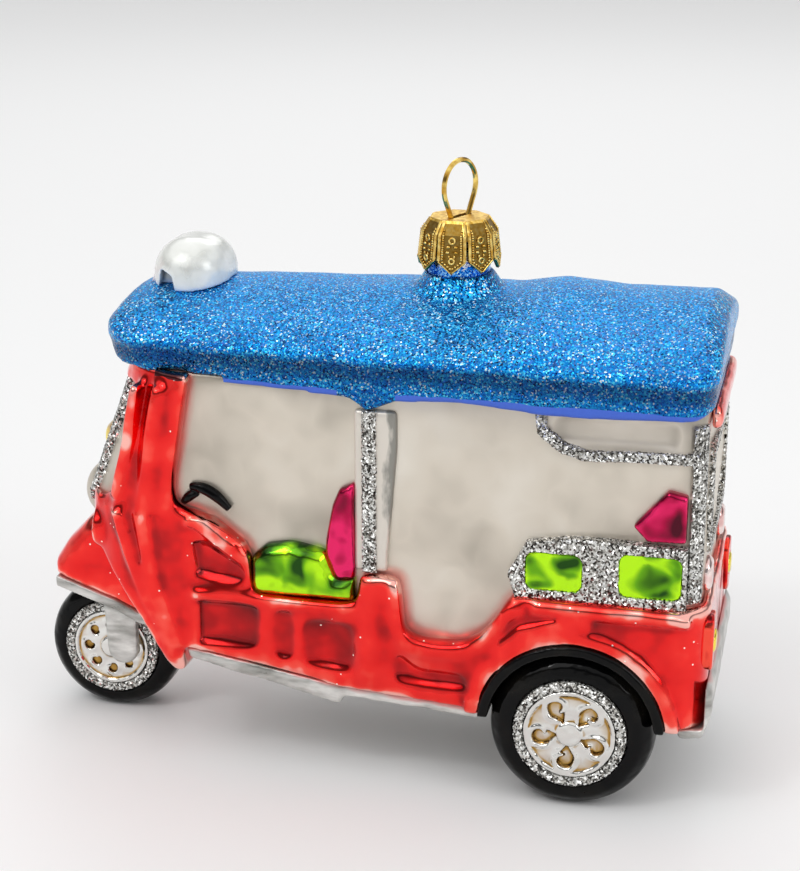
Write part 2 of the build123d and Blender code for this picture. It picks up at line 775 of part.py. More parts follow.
# Armrests: a glitter frame with two green panels
line_x = cabin_rear + 1.1
panel_rows = ((-36.2, -27.4, 35.6, 41.8), (-51.2, -41.6, 35.6, 42.6))
with BuildPart() as arm_frames:
    with BuildSketch(side_plane(cabin_half)):
        with BuildLine():
            Polyline(
                (-25.9, quarter_z),
                (-24.8, 37.9),
                (-27.6, 43.2),
                (-34.7, 44.4),
                (line_x + 1.1, 44.0),
                (line_x + 1.1, quarter_z),
                close=True,
            )
        make_face()
        for x1, x2, z1, z2 in panel_rows:
            with Locations(((x1 + x2) / 2, (z1 + z2) / 2)):
                RectangleRounded(x2 - x1, z2 - z1, 1.4, mode=Mode.SUBTRACT)
    extrude(amount=-1.5)
    mirror(about=Plane.XZ)
save(arm_frames.part, "arm_frames")
with BuildPart() as arm_panels:
    with BuildSketch(side_plane(cabin_half)):
        for x1, x2, z1, z2 in panel_rows:
            with Locations(((x1 + x2) / 2, (z1 + z2) / 2)):
                RectangleRounded(x2 - x1 - 0.1, z2 - z1 - 0.1, 1.35)
    extrude(amount=-1.2)
    mirror(about=Plane.XZ)
save(arm_panels.part, "arm_panels")

# Glitter lines that hug the cabin wall
line_shell = cabin_form(0.7)
quarter_line = (
    *((-28.9, 64.6), (-29.5, 60.7), (-32.5, 58.3)),
    *((-36.2, 57.3), (-43.9, 57.7), (line_x + 1.0, 57.8)),
)
with BuildPart() as quarter_lines:
    with BuildSketch(side_plane(cabin_half - rear_corner)):
        with BuildLine():
            Polyline(*quarter_line)
        trace(line_width=1.5)
        with BuildLine():
            Line((line_x, quarter_z + 0.6), (line_x, 62.6))
        trace(line_width=1.9)
    extrude(amount=-rear_corner - 1.0)
    add(line_shell, mode=Mode.INTERSECT)
    add(cabin_solid, mode=Mode.SUBTRACT)
    mirror(about=Plane.XZ)
save(quarter_lines.part, "quarter_lines")


def roof_plan(inset):
    """Plan outline of the roof, drawn in by inset."""
    front = roof_front_x - inset
    rear = roof_rear_x + inset
    with BuildSketch() as plan:
        with BuildLine():
            Polyline(
                (front, roof_front_half - inset),
                (-12.0, roof_mid_half - inset),
                (rear, roof_rear_half - inset),
                (rear, inset - roof_rear_half),
                (-12.0, inset - roof_mid_half),
                (front, inset - roof_front_half),
                close=True,
            )
        make_face()
        fillet(vertices().group_by(Axis.X)[-1], 9.0 - inset)
        fillet(vertices().group_by(Axis.X)[0], 5.0 - inset)
    return plan.sketch


# Roof rim: the plain band under the crease, hung over the cabin's top edge
roof_foot = (
    (roof_front_x - 2.4, cabin_top + 0.8),
    (roof_front_x - 4.4, cabin_top),
    (34.4 * front_share, cabin_top),
    (31.2 * front_share, cabin_top - 0.8),
    (24.8 * front_share, roof_lip_z + 0.2),
    (7.3, roof_lip_z),
    (-0.6, roof_lip_z - 0.5),
    (-2.8, roof_lip_z - 2.1),
    (-7.4, roof_lip_z - 0.2),
    (-18.8, roof_lip_z + 0.3),
    (-30.1, roof_lip_z - 0.7),
    (-52.1, roof_lip_z),
    (roof_rear_x, roof_lip_z + 1.6),
)
with BuildPart() as roof_rim:
    with BuildSketch(Plane.XZ):
        with BuildLine():
            Polyline(*roof_foot, (roof_rear_x, crease_z), (roof_front_x, crease_z), close=True)
        make_face()
    extrude(amount=2 * cabin_half, both=True)
    extrude(roof_plan(rim_inset), amount=2 * cabin_top, mode=Mode.INTERSECT)
    add(cabin_solid, mode=Mode.SUBTRACT)
    add(front_pillars.part, mode=Mode.SUBTRACT)
    add(quarter_lines.part, mode=Mode.SUBTRACT)
    add(rear_frame.part, mode=Mode.SUBTRACT)
    add(rear_header.part, mode=Mode.SUBTRACT)
    with BuildSketch(Plane.XY.offset(cabin_top)):
        with Locations(((screen_top_x + cabin_rear) / 2 - 1.0, 0)):
            RectangleRounded(screen_top_x - cabin_rear - 8 * cabin_wall, 2 * inner_half - 1.0, 4.0)
    extrude(amount=10, mode=Mode.SUBTRACT)
save(roof_rim.part, "roof_rim")

# Roof sections, from the front to the tail: x, half width, crown height
roof_sections = (
    (roof_front_x, roof_front_half - 2.0, 73.0),
    (39.4 * front_share, roof_front_half - 0.4, 75.0),
    (35.6 * front_share, roof_front_half + 0.2, 76.2),
    (24.0 * front_share, roof_front_half + 0.8, 76.6),
    (-6.0, roof_mid_half - 0.3, 77.5),
    (-21.0, roof_mid_half + 0.3, 77.5),
    (-29.0, roof_mid_half + 0.5, 78.9),
    (-38.0, roof_mid_half + 0.8, 77.9),
    (-52.6, roof_rear_half, 78.1),
    (roof_rear_x, roof_rear_half, 76.0),
)


def canopy_form(inset):
    """Crowned roof above the crease, drawn in by inset; the hollow inside needs fewer sections."""
    brim_z = crease_z + 0.9
    with BuildPart() as form:
        for x, half, crown in roof_sections[1::3] if inset else roof_sections:
            x = min(max(x, roof_rear_x + inset), roof_front_x - inset)
            side = half - inset
            with BuildSketch(Plane.YZ.offset(x)):
                with BuildLine():
                    foot = Polyline((-side, brim_z), (-side, crease_z), (side, crease_z), (side, brim_z))
                    ThreePointArc(foot @ 1, (0, crown - inset), foot @ 0)
                make_face()
        loft(ruled=True)
        extrude(roof_plan(inset), amount=2 * cabin_top, mode=Mode.INTERSECT)
    return form.part


with BuildPart() as roof_canopy:
    add(canopy_form(0))
    add(canopy_form(roof_wall), mode=Mode.SUBTRACT)
    collar_top = cap_tip_z - 0.5
    with BuildSketch(Plane.XZ):
        with BuildLine():
            Polyline(
                (neck_x, neck_foot_z + roof_wall),
                (neck_x + collar_r, neck_foot_z + roof_wall),
                (neck_x + neck_r + 1.2, collar_top - 1.2),
                (neck_x + neck_r + 0.5, collar_top),
                (neck_x, collar_top),
                close=True,
            )
        make_face()
    revolve(axis=Axis((neck_x, 0, 0), (0, 0, 1)))
    with BuildSketch(Plane.XY.offset(crease_z)):
        with Locations((neck_x, 0)):
            Circle(neck_r)
    extrude(amount=cabin_top, mode=Mode.SUBTRACT)
save(roof_canopy.part, "roof_canopy")

# Roof lamp: a pearl dome with a beak in front and a pressed pocket on each side
with BuildPart() as roof_lamp:
    with BuildSketch(Plane.XY.offset(crease_z)):
        with Locations((lamp_x, 0)):
            RectangleRounded(2 * lamp_r, 2 * lamp_half, 0.98 * lamp_r)
    extrude(amount=lamp_top_z - crease_z)
    fillet(faces().sort_by(Axis.Z)[-1].edges(), 0.9 * lamp_r)
    with BuildSketch(Plane.XZ):
        with BuildLine():
            Polyline(
                (lamp_x + 2.0, crease_z),
                (lamp_x + 7.6, crease_z),
                (lamp_x + 7.0, lamp_top_z - 8.0),
                (lamp_x + 5.2, lamp_top_z - 3.8),
                (lamp_x + 2.0, lamp_top_z - 1.4),
                close=True,
            )
        make_face()
    extrude(amount=lamp_waist, both=True)
    for out in (1, -1):
        with BuildSketch(side_plane(out * (lamp_waist + 1.2))):
            with BuildLine():
                Polyline(
                    (lamp_x, crease_z),
                    (lamp_x + 1.8, lamp_top_z - 5.2),
                    (lamp_x + 3.8, lamp_top_z - 4.4),
                    (lamp_x + 5.6, crease_z),
                    close=True,
                )
            make_face()
        extrude(amount=-out * lamp_half, mode=Mode.SUBTRACT)
    add(canopy_form(0), mode=Mode.SUBTRACT)
    split(bisect_by=Plane.XY.offset(crease_z), keep=Keep.TOP)
save(roof_lamp.part, "roof_lamp")

# Neck: the open glass spout that the cap grips
with BuildPart() as neck:
    with BuildSketch(Plane.XY.offset(neck_foot_z)):
        with Locations((neck_x, 0)):
            Circle(neck_r)
            Circle(neck_bore_r, mode=Mode.SUBTRACT)
    extrude(amount=neck_top - neck_foot_z)
    chamfer(edges().group_by(Axis.Z)[-1].sort_by(SortBy.LENGTH)[-1], neck_chamfer)
save(neck.part, "neck")

# Cap: pressed sheet metal with pointed, hinged panels round an open skirt
half_angle = 180 / cap_sides
with BuildPart() as cap:
    for drawn_in, mode in ((0.0, Mode.ADD), (cap_sheet, Mode.SUBTRACT)):
        levels = (
            (cap_tip_z, cap_foot_apothem),
            (cap_shoulder_z, cap_shoulder_apothem),
            (cap_top_z - drawn_in, cap_top_apothem),
        )
        for z, apothem in levels:
            with BuildSketch(Plane.XY.offset(z)):
                with Locations(Location((neck_x, 0, 0), (0, 0, half_angle))):
                    RegularPolygon(apothem - drawn_in, cap_sides, major_radius=False)
        loft(ruled=True, mode=mode)
    panel_half = cap_foot_apothem * sin(radians(half_angle))
    slit = cap_slit / 2
    for k in range(cap_sides):
        turn = radians(half_angle + k * 2 * half_angle)
        outwards = (cos(turn), sin(turn), 0)
        face = Plane(origin=(neck_x, 0, 0), x_dir=(-sin(turn), cos(turn), 0), z_dir=outwards)
        with BuildSketch(face.offset(cap_top_apothem)):
            with BuildLine():
                Polyline(
                    (-slit, cap_shoulder_z - 0.8),
                    (slit, cap_shoulder_z - 0.8),
                    (slit, cap_tip_z + cap_point),
                    (panel_half, cap_tip_z),
                    (-panel_half, cap_tip_z),
                    (-slit, cap_tip_z + cap_point),
                    close=True,
                )
            make_face()
        extrude(amount=5, mode=Mode.SUBTRACT)
    with BuildSketch(Plane.XY.offset(cap_top_z)):
        with Locations(Location((neck_x, 0, 0), (0, 0, hanger_turn))):
            width = 2 * (wire_r + hole_clear)
            SlotOverall(2 * leg_x + width, width)
    extrude(amount=-2, mode=Mode.SUBTRACT)
save(cap.part, "cap")

# Hanger: one length of sprung wire, legs spread inside the neck
turn = radians(hanger_turn)
wire_plane = Plane(origin=(neck_x, 0, 0), x_dir=(cos(turn), sin(turn), 0), z_dir=(sin(turn), -cos(turn), 0))
waist_z = cap_top_z - cap_sheet / 2
loop_z = loop_top_z - wire_r - loop_r
reach = (leg_x**2 + (loop_z - waist_z) ** 2) ** 0.5
lean = loop_r / reach
run = (reach**2 - loop_r**2) ** 0.5
away = (1 - lean**2) ** 0.5
to_x = (-leg_x * away + (loop_z - waist_z) * lean) / reach
to_z = ((loop_z - waist_z) * away + leg_x * lean) / reach
side_x = leg_x + run * to_x
side_z = waist_z + run * to_z
with BuildPart() as hanger_wire:
    with BuildLine(wire_plane) as wire:
        left_leg = Polyline((-leg_foot_x, leg_foot_z), (-leg_x, waist_z), (-side_x, side_z))
        ThreePointArc((-side_x, side_z), (0, loop_z + loop_r), (side_x, side_z))
        right_leg = Polyline((side_x, side_z), (leg_x, waist_z), (leg_foot_x, leg_foot_z))
    start = wire.wires()[0]
    with BuildSketch(Plane(origin=start @ 0, z_dir=start % 0)):
        RegularPolygon(wire_r, wire_sides)
    sweep(path=start, transition=Transition.ROUND)
save(hanger_wire.part, "hanger_wire")
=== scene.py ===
"""Looks of the glass auto-rickshaw ornament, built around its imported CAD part."""

import json
from math import cos, radians, sin

import bpy
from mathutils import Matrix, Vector
from mathutils.bvhtree import BVHTree

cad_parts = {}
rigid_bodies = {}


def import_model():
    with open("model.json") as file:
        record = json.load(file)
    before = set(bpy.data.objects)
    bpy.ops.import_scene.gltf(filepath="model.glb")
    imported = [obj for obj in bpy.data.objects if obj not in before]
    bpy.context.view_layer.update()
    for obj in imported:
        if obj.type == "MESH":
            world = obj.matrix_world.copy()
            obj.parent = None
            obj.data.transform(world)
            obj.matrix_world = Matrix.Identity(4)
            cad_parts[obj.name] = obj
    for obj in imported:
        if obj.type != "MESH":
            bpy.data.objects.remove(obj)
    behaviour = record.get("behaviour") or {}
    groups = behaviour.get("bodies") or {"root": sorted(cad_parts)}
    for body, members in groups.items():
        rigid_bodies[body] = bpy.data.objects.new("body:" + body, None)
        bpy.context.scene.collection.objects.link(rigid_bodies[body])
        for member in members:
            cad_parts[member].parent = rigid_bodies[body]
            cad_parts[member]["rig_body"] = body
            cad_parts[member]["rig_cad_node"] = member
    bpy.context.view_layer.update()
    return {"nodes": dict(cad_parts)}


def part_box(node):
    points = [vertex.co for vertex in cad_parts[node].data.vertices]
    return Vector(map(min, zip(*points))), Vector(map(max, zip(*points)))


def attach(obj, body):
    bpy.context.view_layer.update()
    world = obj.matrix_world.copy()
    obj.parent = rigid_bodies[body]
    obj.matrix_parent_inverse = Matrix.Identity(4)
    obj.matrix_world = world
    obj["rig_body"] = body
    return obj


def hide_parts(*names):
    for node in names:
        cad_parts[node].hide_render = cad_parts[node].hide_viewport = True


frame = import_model()
bpy.ops.object.select_all(action="DESELECT")

# Studio: a white seamless table under a light tent, with a large soft lamp at the upper left.
# The photograph looks down on the vehicle's left side, a little from behind its middle.
camera_yaw = radians(13.0)
camera_tilt = radians(18.5)
camera_away = 0.323
camera_aim = Vector((-0.003325, 0.0, 0.05179))
film_wide = 36.0
picture_high = 871.0
focal_pixels = 2000.0
level = cos(camera_tilt)
back = Vector((-sin(camera_yaw) * level, cos(camera_yaw) * level, sin(camera_tilt)))
bpy.ops.object.camera_add(location=camera_aim + back * camera_away)
camera = bpy.context.object
camera.rotation_euler = (-back).to_track_quat("-Z", "Y").to_euler()
camera.data.sensor_width = film_wide
camera.data.lens = focal_pixels / picture_high * film_wide
camera.data.clip_start = 0.01
camera.data.clip_end = 20.0
bpy.context.scene.camera = camera
bpy.context.scene.view_settings.view_transform = "Standard"


def paint(red, green, blue):
    """Colour of a paint swatch, given as 0 to 255."""
    return (*[((c / 255 + 0.055) / 1.055) ** 2.4 for c in (red, green, blue)], 1.0)


class Thread:
    """A value running between two nodes. A sum written on it adds a Math node."""

    def __init__(self, finish, socket):
        self.finish = finish
        self.socket = socket

    def math(self, operation, first, second=0.0):
        return self.finish.node("ShaderNodeMath", {"operation": operation}, {0: first, 1: second})

    def __add__(self, other):
        return self.math("ADD", self, other)

    def __radd__(self, other):
        return self.math("ADD", other, self)

    def __sub__(self, other):
        return self.math("SUBTRACT", self, other)

    def __rsub__(self, other):
        return self.math("SUBTRACT", other, self)

    def __mul__(self, other):
        return self.math("MULTIPLY", self, other)

    def __rmul__(self, other):
        return self.math("MULTIPLY", other, self)

    def __truediv__(self, other):
        return self.math("DIVIDE", self, other)

    def __gt__(self, other):
        return self.math("GREATER_THAN", self, other)

    def __lt__(self, other):
        return self.math("LESS_THAN", self, other)

    def __abs__(self):
        return self.math("ABSOLUTE", self)


class Finish:
    """The nodes of one finish, each added by its type, its settings and its sockets."""

    def __init__(self, tree):
        self.tree = tree

    def feed(self, made, sockets):
        for name, value in sockets.items():
            if isinstance(value, Thread):
                self.tree.links.new(value.socket, made.inputs[name])
            else:
                made.inputs[name].default_value = value

    def node(self, kind, settings=None, sockets=None, out=0):
        made = self.tree.nodes.new(kind)
        for name, value in (settings or {}).items():
            if name == "stops":
                while len(made.color_ramp.elements) < len(value):
                    made.color_ramp.elements.new(1.0)
                for stop, (place, colour) in zip(made.color_ramp.elements, value):
                    stop.position = place
                    stop.color = colour
            else:
                setattr(made, name, value)
        self.feed(made, sockets or {})
        return Thread(self, made.outputs[out])

    def blend(self, share, first, second, way="MIX"):
        """Colours mixed by a share, from the first to the second."""
        settings = {"data_type": "RGBA", "blend_type": way}
        return self.node("ShaderNodeMix", settings, {0: share, 6: first, 7: second}, out=2)


world = bpy.data.worlds.new("light_tent")
bpy.context.scene.world = world
world.use_nodes = True
tent = Finish(world.node_tree)
tent_way = tent.node("ShaderNodeTexCoord", out="Generated")
tent_height = tent.node("ShaderNodeSeparateXYZ", sockets={0: tent_way}, out="Z")
tent_cloth = tent.node(
    "ShaderNodeValToRGB",
    {
        "stops": [
            (0.16, (0.80, 0.80, 0.80, 1)),
            (0.26, (0.16, 0.16, 0.165, 1)),
            (0.44, (0.20, 0.20, 0.205, 1)),
            (0.62, (0.97, 0.97, 0.97, 1)),
        ]
    },
    {0: tent_height},
)
tent.feed(world.node_tree.nodes["Background"], {"Color": tent_cloth, "Strength": 1.0})

lamp_aim = Vector((0, 0, 0.04))
lamp_rows = (
    ("soft_lamp", (0.35, 0.55, 0.75), 0.7, 1.8),
    ("spark_lamp", (0.30, 0.42, 0.62), 0.09, 0.45),
    ("side_lamp", (-0.75, 0.35, 0.45), 0.40, 1.5),
    ("back_lamp", (0.1, -0.7, 0.6), 0.5, 1.0),
)
for name, place, size, power in lamp_rows:
    bpy.ops.object.light_add(type="AREA", location=place)
    lamp = bpy.context.object
    lamp.name = name
    lamp.data.size = size
    lamp.data.energy = power
    lamp.rotation_euler = (lamp_aim - Vector(place)).to_track_quat("-Z", "Y").to_euler()

bpy.ops.mesh.primitive_plane_add(size=8.0)
table = bpy.context.object
table.name = "table"
table.data.materials.append(bpy.data.materials.new("table_card"))
table.data.materials[0].use_nodes = True
card = Finish(table.data.materials[0].node_tree)
card_shader = card.tree.nodes["Principled BSDF"]
card.feed(card_shader, {"Base Color": paint(243, 243, 243), "Roughness": 0.6})

# Body glass: one thin bubble blown in a mould, silvered inside and sprayed with pearl where the
# windows are. It carries every other colour, and a mist of red lies on it beside the red lacquer.
mm = 0.001
cabin_grain = 0.5 * mm
lump_size = 11 * mm


def lacquer(name, colour, metallic, roughness, coat=0.0):
    """A new material, and its Principled shader."""
    made = bpy.data.materials.new(name)
    made.use_nodes = True
    shader = made.node_tree.nodes["Principled BSDF"]
    finish = Finish(made.node_tree)
    finish.feed(
        shader,
        {
            "Base Color": colour,
            "Metallic": metallic,
            "Roughness": roughness,
            "Coat Weight": coat,
            "Coat Roughness": 0.04,
        },
    )
    return made, finish, shader


def outer_shells(piece):
    """Merges a copied piece and drops the walls of its closed hollows."""
    bpy.ops.object.mode_set(mode="EDIT")
    bpy.ops.mesh.select_all(action="SELECT")
    bpy.ops.mesh.remove_doubles(threshold=1e-7)
    bpy.ops.mesh.separate(type="LOOSE")
    bpy.ops.object.mode_set(mode="OBJECT")
    kept = []
    for part in list(bpy.context.selected_objects):
        volume = 0.0
        for face in part.data.polygons:
            first, second, third = (part.data.vertices[k].co for k in face.vertices)
            volume += first.dot(second.cross(third))
        if volume > 0:
            kept.append(part)
        else:
            bpy.data.objects.remove(part)
    return kept


def work(piece, kind, **settings):
    """Gives a piece one modifier and applies it."""
    bpy.context.view_layer.objects.active = piece
    step = piece.modifiers.new("step", kind)
    for name, value in settings.items():
        setattr(step, name, value)
    bpy.ops.object.modifier_apply(modifier="step")


def uneven(piece, scale, height, middle=0.5):
    """Swells a piece unevenly along its normals, in lumps of the given scale."""
    lumps = bpy.data.textures.new(piece.name + "_lumps", "CLOUDS")
    lumps.noise_scale = scale
    swelling = {"texture": lumps, "texture_coords": "LOCAL"}
    work(piece, "DISPLACE", **swelling, strength=height, mid_level=middle)


def blown_skin(
    name,
    nodes,
    grain,
    soften,
    sink=False,
    way=(1, 0.96, 1),
    grow=0.0,
    wobble=0.0,
    keep=1.0,
    added=(),
):
    """A soft-edged skin over the named CAD pieces, let into the glass below by a sunk copy."""
    bpy.ops.object.select_all(action="DESELECT")
    shells = list(added)
    if nodes:
        for node in nodes:
            frame["nodes"][node].select_set(True)
        bpy.context.view_layer.objects.active = frame["nodes"][nodes[0]]
        bpy.ops.object.duplicate()
        bpy.ops.object.parent_clear(type="CLEAR_KEEP_TRANSFORM")
        if len(nodes) > 1:
            bpy.ops.object.join()
        shells += outer_shells(bpy.context.object)
    bpy.ops.object.select_all(action="DESELECT")
    for shell in shells:
        shell.select_set(True)
    bpy.context.view_layer.objects.active = shells[-1]
    if len(shells) > 1:
        bpy.ops.object.join()
    skin = bpy.context.object
    skin.name = name
    skin.data.name = name
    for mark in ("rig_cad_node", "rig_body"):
        if mark in skin:
            del skin[mark]
    if grow:
        work(skin, "DISPLACE", strength=grow, mid_level=0.0)
    if sink:
        bpy.ops.object.mode_set(mode="EDIT")
        bpy.ops.mesh.select_all(action="SELECT")
        bpy.ops.mesh.duplicate()
        bpy.ops.transform.resize(value=way, center_override=(0, 0, 0))
        bpy.ops.object.mode_set(mode="OBJECT")
    work(skin, "REMESH", mode="VOXEL", voxel_size=grain, use_smooth_shade=True)
    work(skin, "SMOOTH", factor=0.5, iterations=soften)
    if wobble:
        uneven(skin, lump_size, wobble)
    if keep < 1.0:
        work(skin, "DECIMATE", ratio=keep)
    skin.data.materials.clear()
    if nodes:
        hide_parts(*nodes)
    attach(skin, "glass")
    return skin


def hollows(piece, passes, depth):
    """Marks how hollow the skin is, from -1 on a ridge to 1 in a groove of the given depth."""
    bpy.ops.object.select_all(action="DESELECT")
    piece.select_set(True)
    bpy.context.view_layer.objects.active = piece
    bpy.ops.object.duplicate()
    eased = bpy.context.object
    work(eased, "SMOOTH", factor=1.0, iterations=passes)
    marks = piece.data.attributes.new("hollow", "FLOAT", "POINT")
    for point, soft, mark in zip(piece.data.vertices, eased.data.vertices, marks.data):
        mark.value = max(-1.0, min(1.0, (soft.co - point.co).dot(point.normal) / depth))
    bpy.data.objects.remove(eased)


cabin = blown_skin(
    "pearl_cabin", ("cabin",), grain=cabin_grain, soften=18, wobble=1.1 * mm, keep=0.32
)
hollows(cabin, passes=60, depth=0.9 * mm)
pearl, finish, shader = lacquer("pearl_spray", paint(208, 203, 195), metallic=0.5, roughness=0.4)
place = finish.node("ShaderNodeTexCoord", out="Object")
cloud = finish.node("ShaderNodeTexNoise", sockets={"Vector": place, "Scale": 62.0, "Detail": 2.0})
near_red = finish.node("ShaderNodeAttribute", {"attribute_name": "mist"}, out="Fac")
hollow_shade = finish.node("ShaderNodeAttribute", {"attribute_name": "hollow"}, out="Fac")
# Painted shade: by the hollow mark, the pearl is painted darker in its hollows and on its ridges.
shade = finish.node(
    "ShaderNodeValToRGB",
    {
        "stops": [
            (0.2, paint(168, 160, 147)),
            (0.5, paint(213, 204, 190)),
            (0.7, paint(226, 219, 207)),
        ]
    },
    {0: cloud - abs(hollow_shade) * 0.4},
)
blush = finish.node(
    "ShaderNodeValToRGB",
    {"stops": [(0.45, (0, 0, 0, 1)), (0.95, (1, 1, 1, 1))]},
    {0: near_red + (cloud - 0.5) * 0.9},
)
tinted = finish.blend(blush * 0.4, shade, paint(214, 70, 62))
swell = finish.node("ShaderNodeTexNoise", sockets={"Vector": place, "Scale": 130.0, "Detail": 1.0})
dent = finish.node(
    "ShaderNodeBump",
    sockets={"Strength": 0.5, "Distance": 0.6 * mm, "Height": swell},
    out="Normal",
)
finish.feed(shader, {"Base Color": tinted, "Roughness": cloud * 0.25 + 0.2, "Normal": dent})
cabin.data.materials.append(pearl)

# Red bodywork: transparent red lacquer brushed thick over the silvered glass. It is painted darker
# in the creases, partly where it pooled and partly as painted shade, and lighter on the ridges
# where it wore thin, with painted highlights in near-white pink along their crests. It has stray
# specks of glitter. Under the roof's lip, at the head of each front pillar, the red is painted
# near-black.
grain_scale = 1500.0
rare = 0.975
dark_band_foot = 65.2 * mm
dark_band_middle = 28.5 * mm
dark_band_half = 2.6 * mm
mist_reach = 2.8 * mm
door_back, door_front, door_foot, door_head = -24, 24, 17, 39
pillar_back, pillar_front, pillar_foot, pillar_head = 22, 42, 43, 65
flank = 14


def mist(piece, others, reach):
    """Marks on a piece how near each point is to the others, from 1 at them to 0 at reach."""
    graph = bpy.context.evaluated_depsgraph_get()
    trees = [BVHTree.FromObject(other, graph) for other in others]
    marks = piece.data.attributes.new("mist", "FLOAT", "POINT")
    for point, mark in zip(piece.data.vertices, marks.data):
        near = min(tree.find_nearest(point.co, reach)[3] or reach for tree in trees)
        mark.value = 1.0 - near / reach


red_skin = blown_skin(
    "red_bodywork",
    ("lower_body", "front_pillars", "leg_shield", "lamp_pods", "front_guard", "rear_header"),
    grain=0.3 * mm,
    soften=34,
    sink=True,
    way=(1, 0.984, 1),
    grow=0.16 * mm,
    wobble=0.45 * mm,
    keep=0.36,
)
soft = red_skin.vertex_groups.new(name="soft")
for point in red_skin.data.vertices:
    x, y, z = point.co / mm
    door = door_back < x < door_front and door_foot < z < door_head
    pillar = pillar_back < x < pillar_front and pillar_foot < z < pillar_head
    if abs(y) > flank and (door or pillar):
        soft.add([point.index], 1.0, "REPLACE")
work(red_skin, "SMOOTH", factor=0.5, iterations=80, vertex_group="soft")
red_skin.vertex_groups.clear()
hollows(red_skin, passes=60, depth=0.5 * mm)
mist(cabin, [red_skin], mist_reach)

candy, finish, shader = lacquer(
    "candy_red", paint(226, 24, 26), metallic=1.0, roughness=0.12, coat=0.4
)
place = finish.node("ShaderNodeTexCoord", out="Object")
crease = finish.node("ShaderNodeAttribute", {"attribute_name": "hollow"}, out="Fac")
pool = finish.node("ShaderNodeTexNoise", sockets={"Vector": place, "Scale": 170.0, "Detail": 2.0})
# Painted shade and painted highlight: by the hollow mark, the red runs from near-white pink on a
# ridge to dark red in a groove.
depth = finish.node(
    "ShaderNodeValToRGB",
    {
        "stops": [
            (0.08, paint(255, 186, 174)),
            (0.17, paint(252, 84, 70)),
            (0.30, paint(243, 40, 34)),
            (0.50, paint(230, 22, 22)),
            (0.66, paint(178, 8, 14)),
            (0.92, paint(112, 4, 10)),
        ]
    },
    {0: crease * 0.4 + 0.47 + (pool - 0.5) * 0.85},
)
spread = {"Vector": place, "Scale": grain_scale}
grains = finish.node("ShaderNodeTexVoronoi", sockets=spread, out="Distance")
chance = finish.node("ShaderNodeTexVoronoi", sockets=spread, out="Color")
lucky = finish.node("ShaderNodeSeparateColor", sockets={0: chance}, out="Red") > rare
speck = (grains < 0.22) * lucky
dotted = finish.blend(speck, depth, paint(255, 244, 236))
along = finish.node("ShaderNodeSeparateXYZ", sockets={0: place}, out="X")
tall = finish.node("ShaderNodeSeparateXYZ", sockets={0: place}, out="Z")
# A short band under the roof's lip, at the head of each front pillar, is painted near-black.
in_dark_band = abs(along - dark_band_middle) < dark_band_half
under_lip = (tall + (pool - 0.5) * 4 * mm > dark_band_foot) * in_dark_band
coloured = finish.blend(under_lip * 0.9, dotted, paint(16, 16, 26))
ripple = finish.node("ShaderNodeTexNoise", sockets={"Vector": place, "Scale": 140.0, "Detail": 1.0})
flow = finish.node(
    "ShaderNodeBump",
    sockets={"Strength": 0.6, "Distance": 1.0 * mm, "Height": ripple},
    out="Normal",
)
finish.feed(shader, {"Base Color": coloured, "Roughness": pool * 0.16 + 0.06, "Normal": flow})
red_skin.data.materials.append(candy)

# Roof: the crown of the same bubble, brushed with blue lacquer and rolled in blue glitter. The lip
# below the glitter is left as plain blue lacquer, but for a dab of glitter at the middle post.
lip_height = 65.4 * mm
groove_foot = 64.0 * mm
groove_span = 7.0 * mm
dab_middle = -2.8 * mm
dab_half = 4.6 * mm
roof = blown_skin(
    "blue_roof",
    ("roof_rim", "roof_canopy"),
    grain=0.42 * mm,
    soften=16,
    grow=-0.02 * mm,
    wobble=0.5 * mm,
    keep=0.42,
)
glitter, finish, shader = lacquer(
    "blue_glitter", paint(20, 110, 215), metallic=0.85, roughness=0.22
)
place = finish.node("ShaderNodeTexCoord", out="Object")
along = finish.node("ShaderNodeSeparateXYZ", sockets={0: place}, out="X")
height = finish.node("ShaderNodeSeparateXYZ", sockets={0: place}, out="Z")
face = finish.node("ShaderNodeNewGeometry", out="Normal")
upward = finish.node("ShaderNodeSeparateXYZ", sockets={0: face}, out="Z")
spread = {"Vector": place, "Scale": 4200.0}
flake = finish.node("ShaderNodeTexVoronoi", sockets=spread, out="Color")
draw = finish.node("ShaderNodeSeparateColor", sockets={0: flake}, out="Green")
# The brightest flakes are painted near-white, as painted glints.
shade = finish.node(
    "ShaderNodeValToRGB",
    {
        "stops": [
            (0.0, paint(0, 66, 150)),
            (0.35, paint(2, 118, 212)),
            (0.75, paint(10, 164, 242)),
            (0.92, paint(90, 222, 255)),
            (0.98, paint(236, 252, 255)),
        ]
    },
    {0: draw},
)
wave = finish.node("ShaderNodeTexNoise", sockets={"Vector": place, "Scale": 160.0, "Detail": 2.0})
# Painted shade: the glitter is painted dark navy in a band along the groove under the shoulder, and
# somewhat darker below that band.
groove = finish.node(
    "ShaderNodeValToRGB",
    {
        "stops": [
            (0.30, (0.4, 0.4, 0.4, 1)),
            (0.52, (1, 1, 1, 1)),
            (0.74, (1, 1, 1, 1)),
            (0.90, (0, 0, 0, 1)),
        ]
    },
    {0: (height - groove_foot) / groove_span + (wave - 0.5) * 0.22},
)
shaded = finish.blend(groove * 0.74, shade, paint(2, 20, 66))
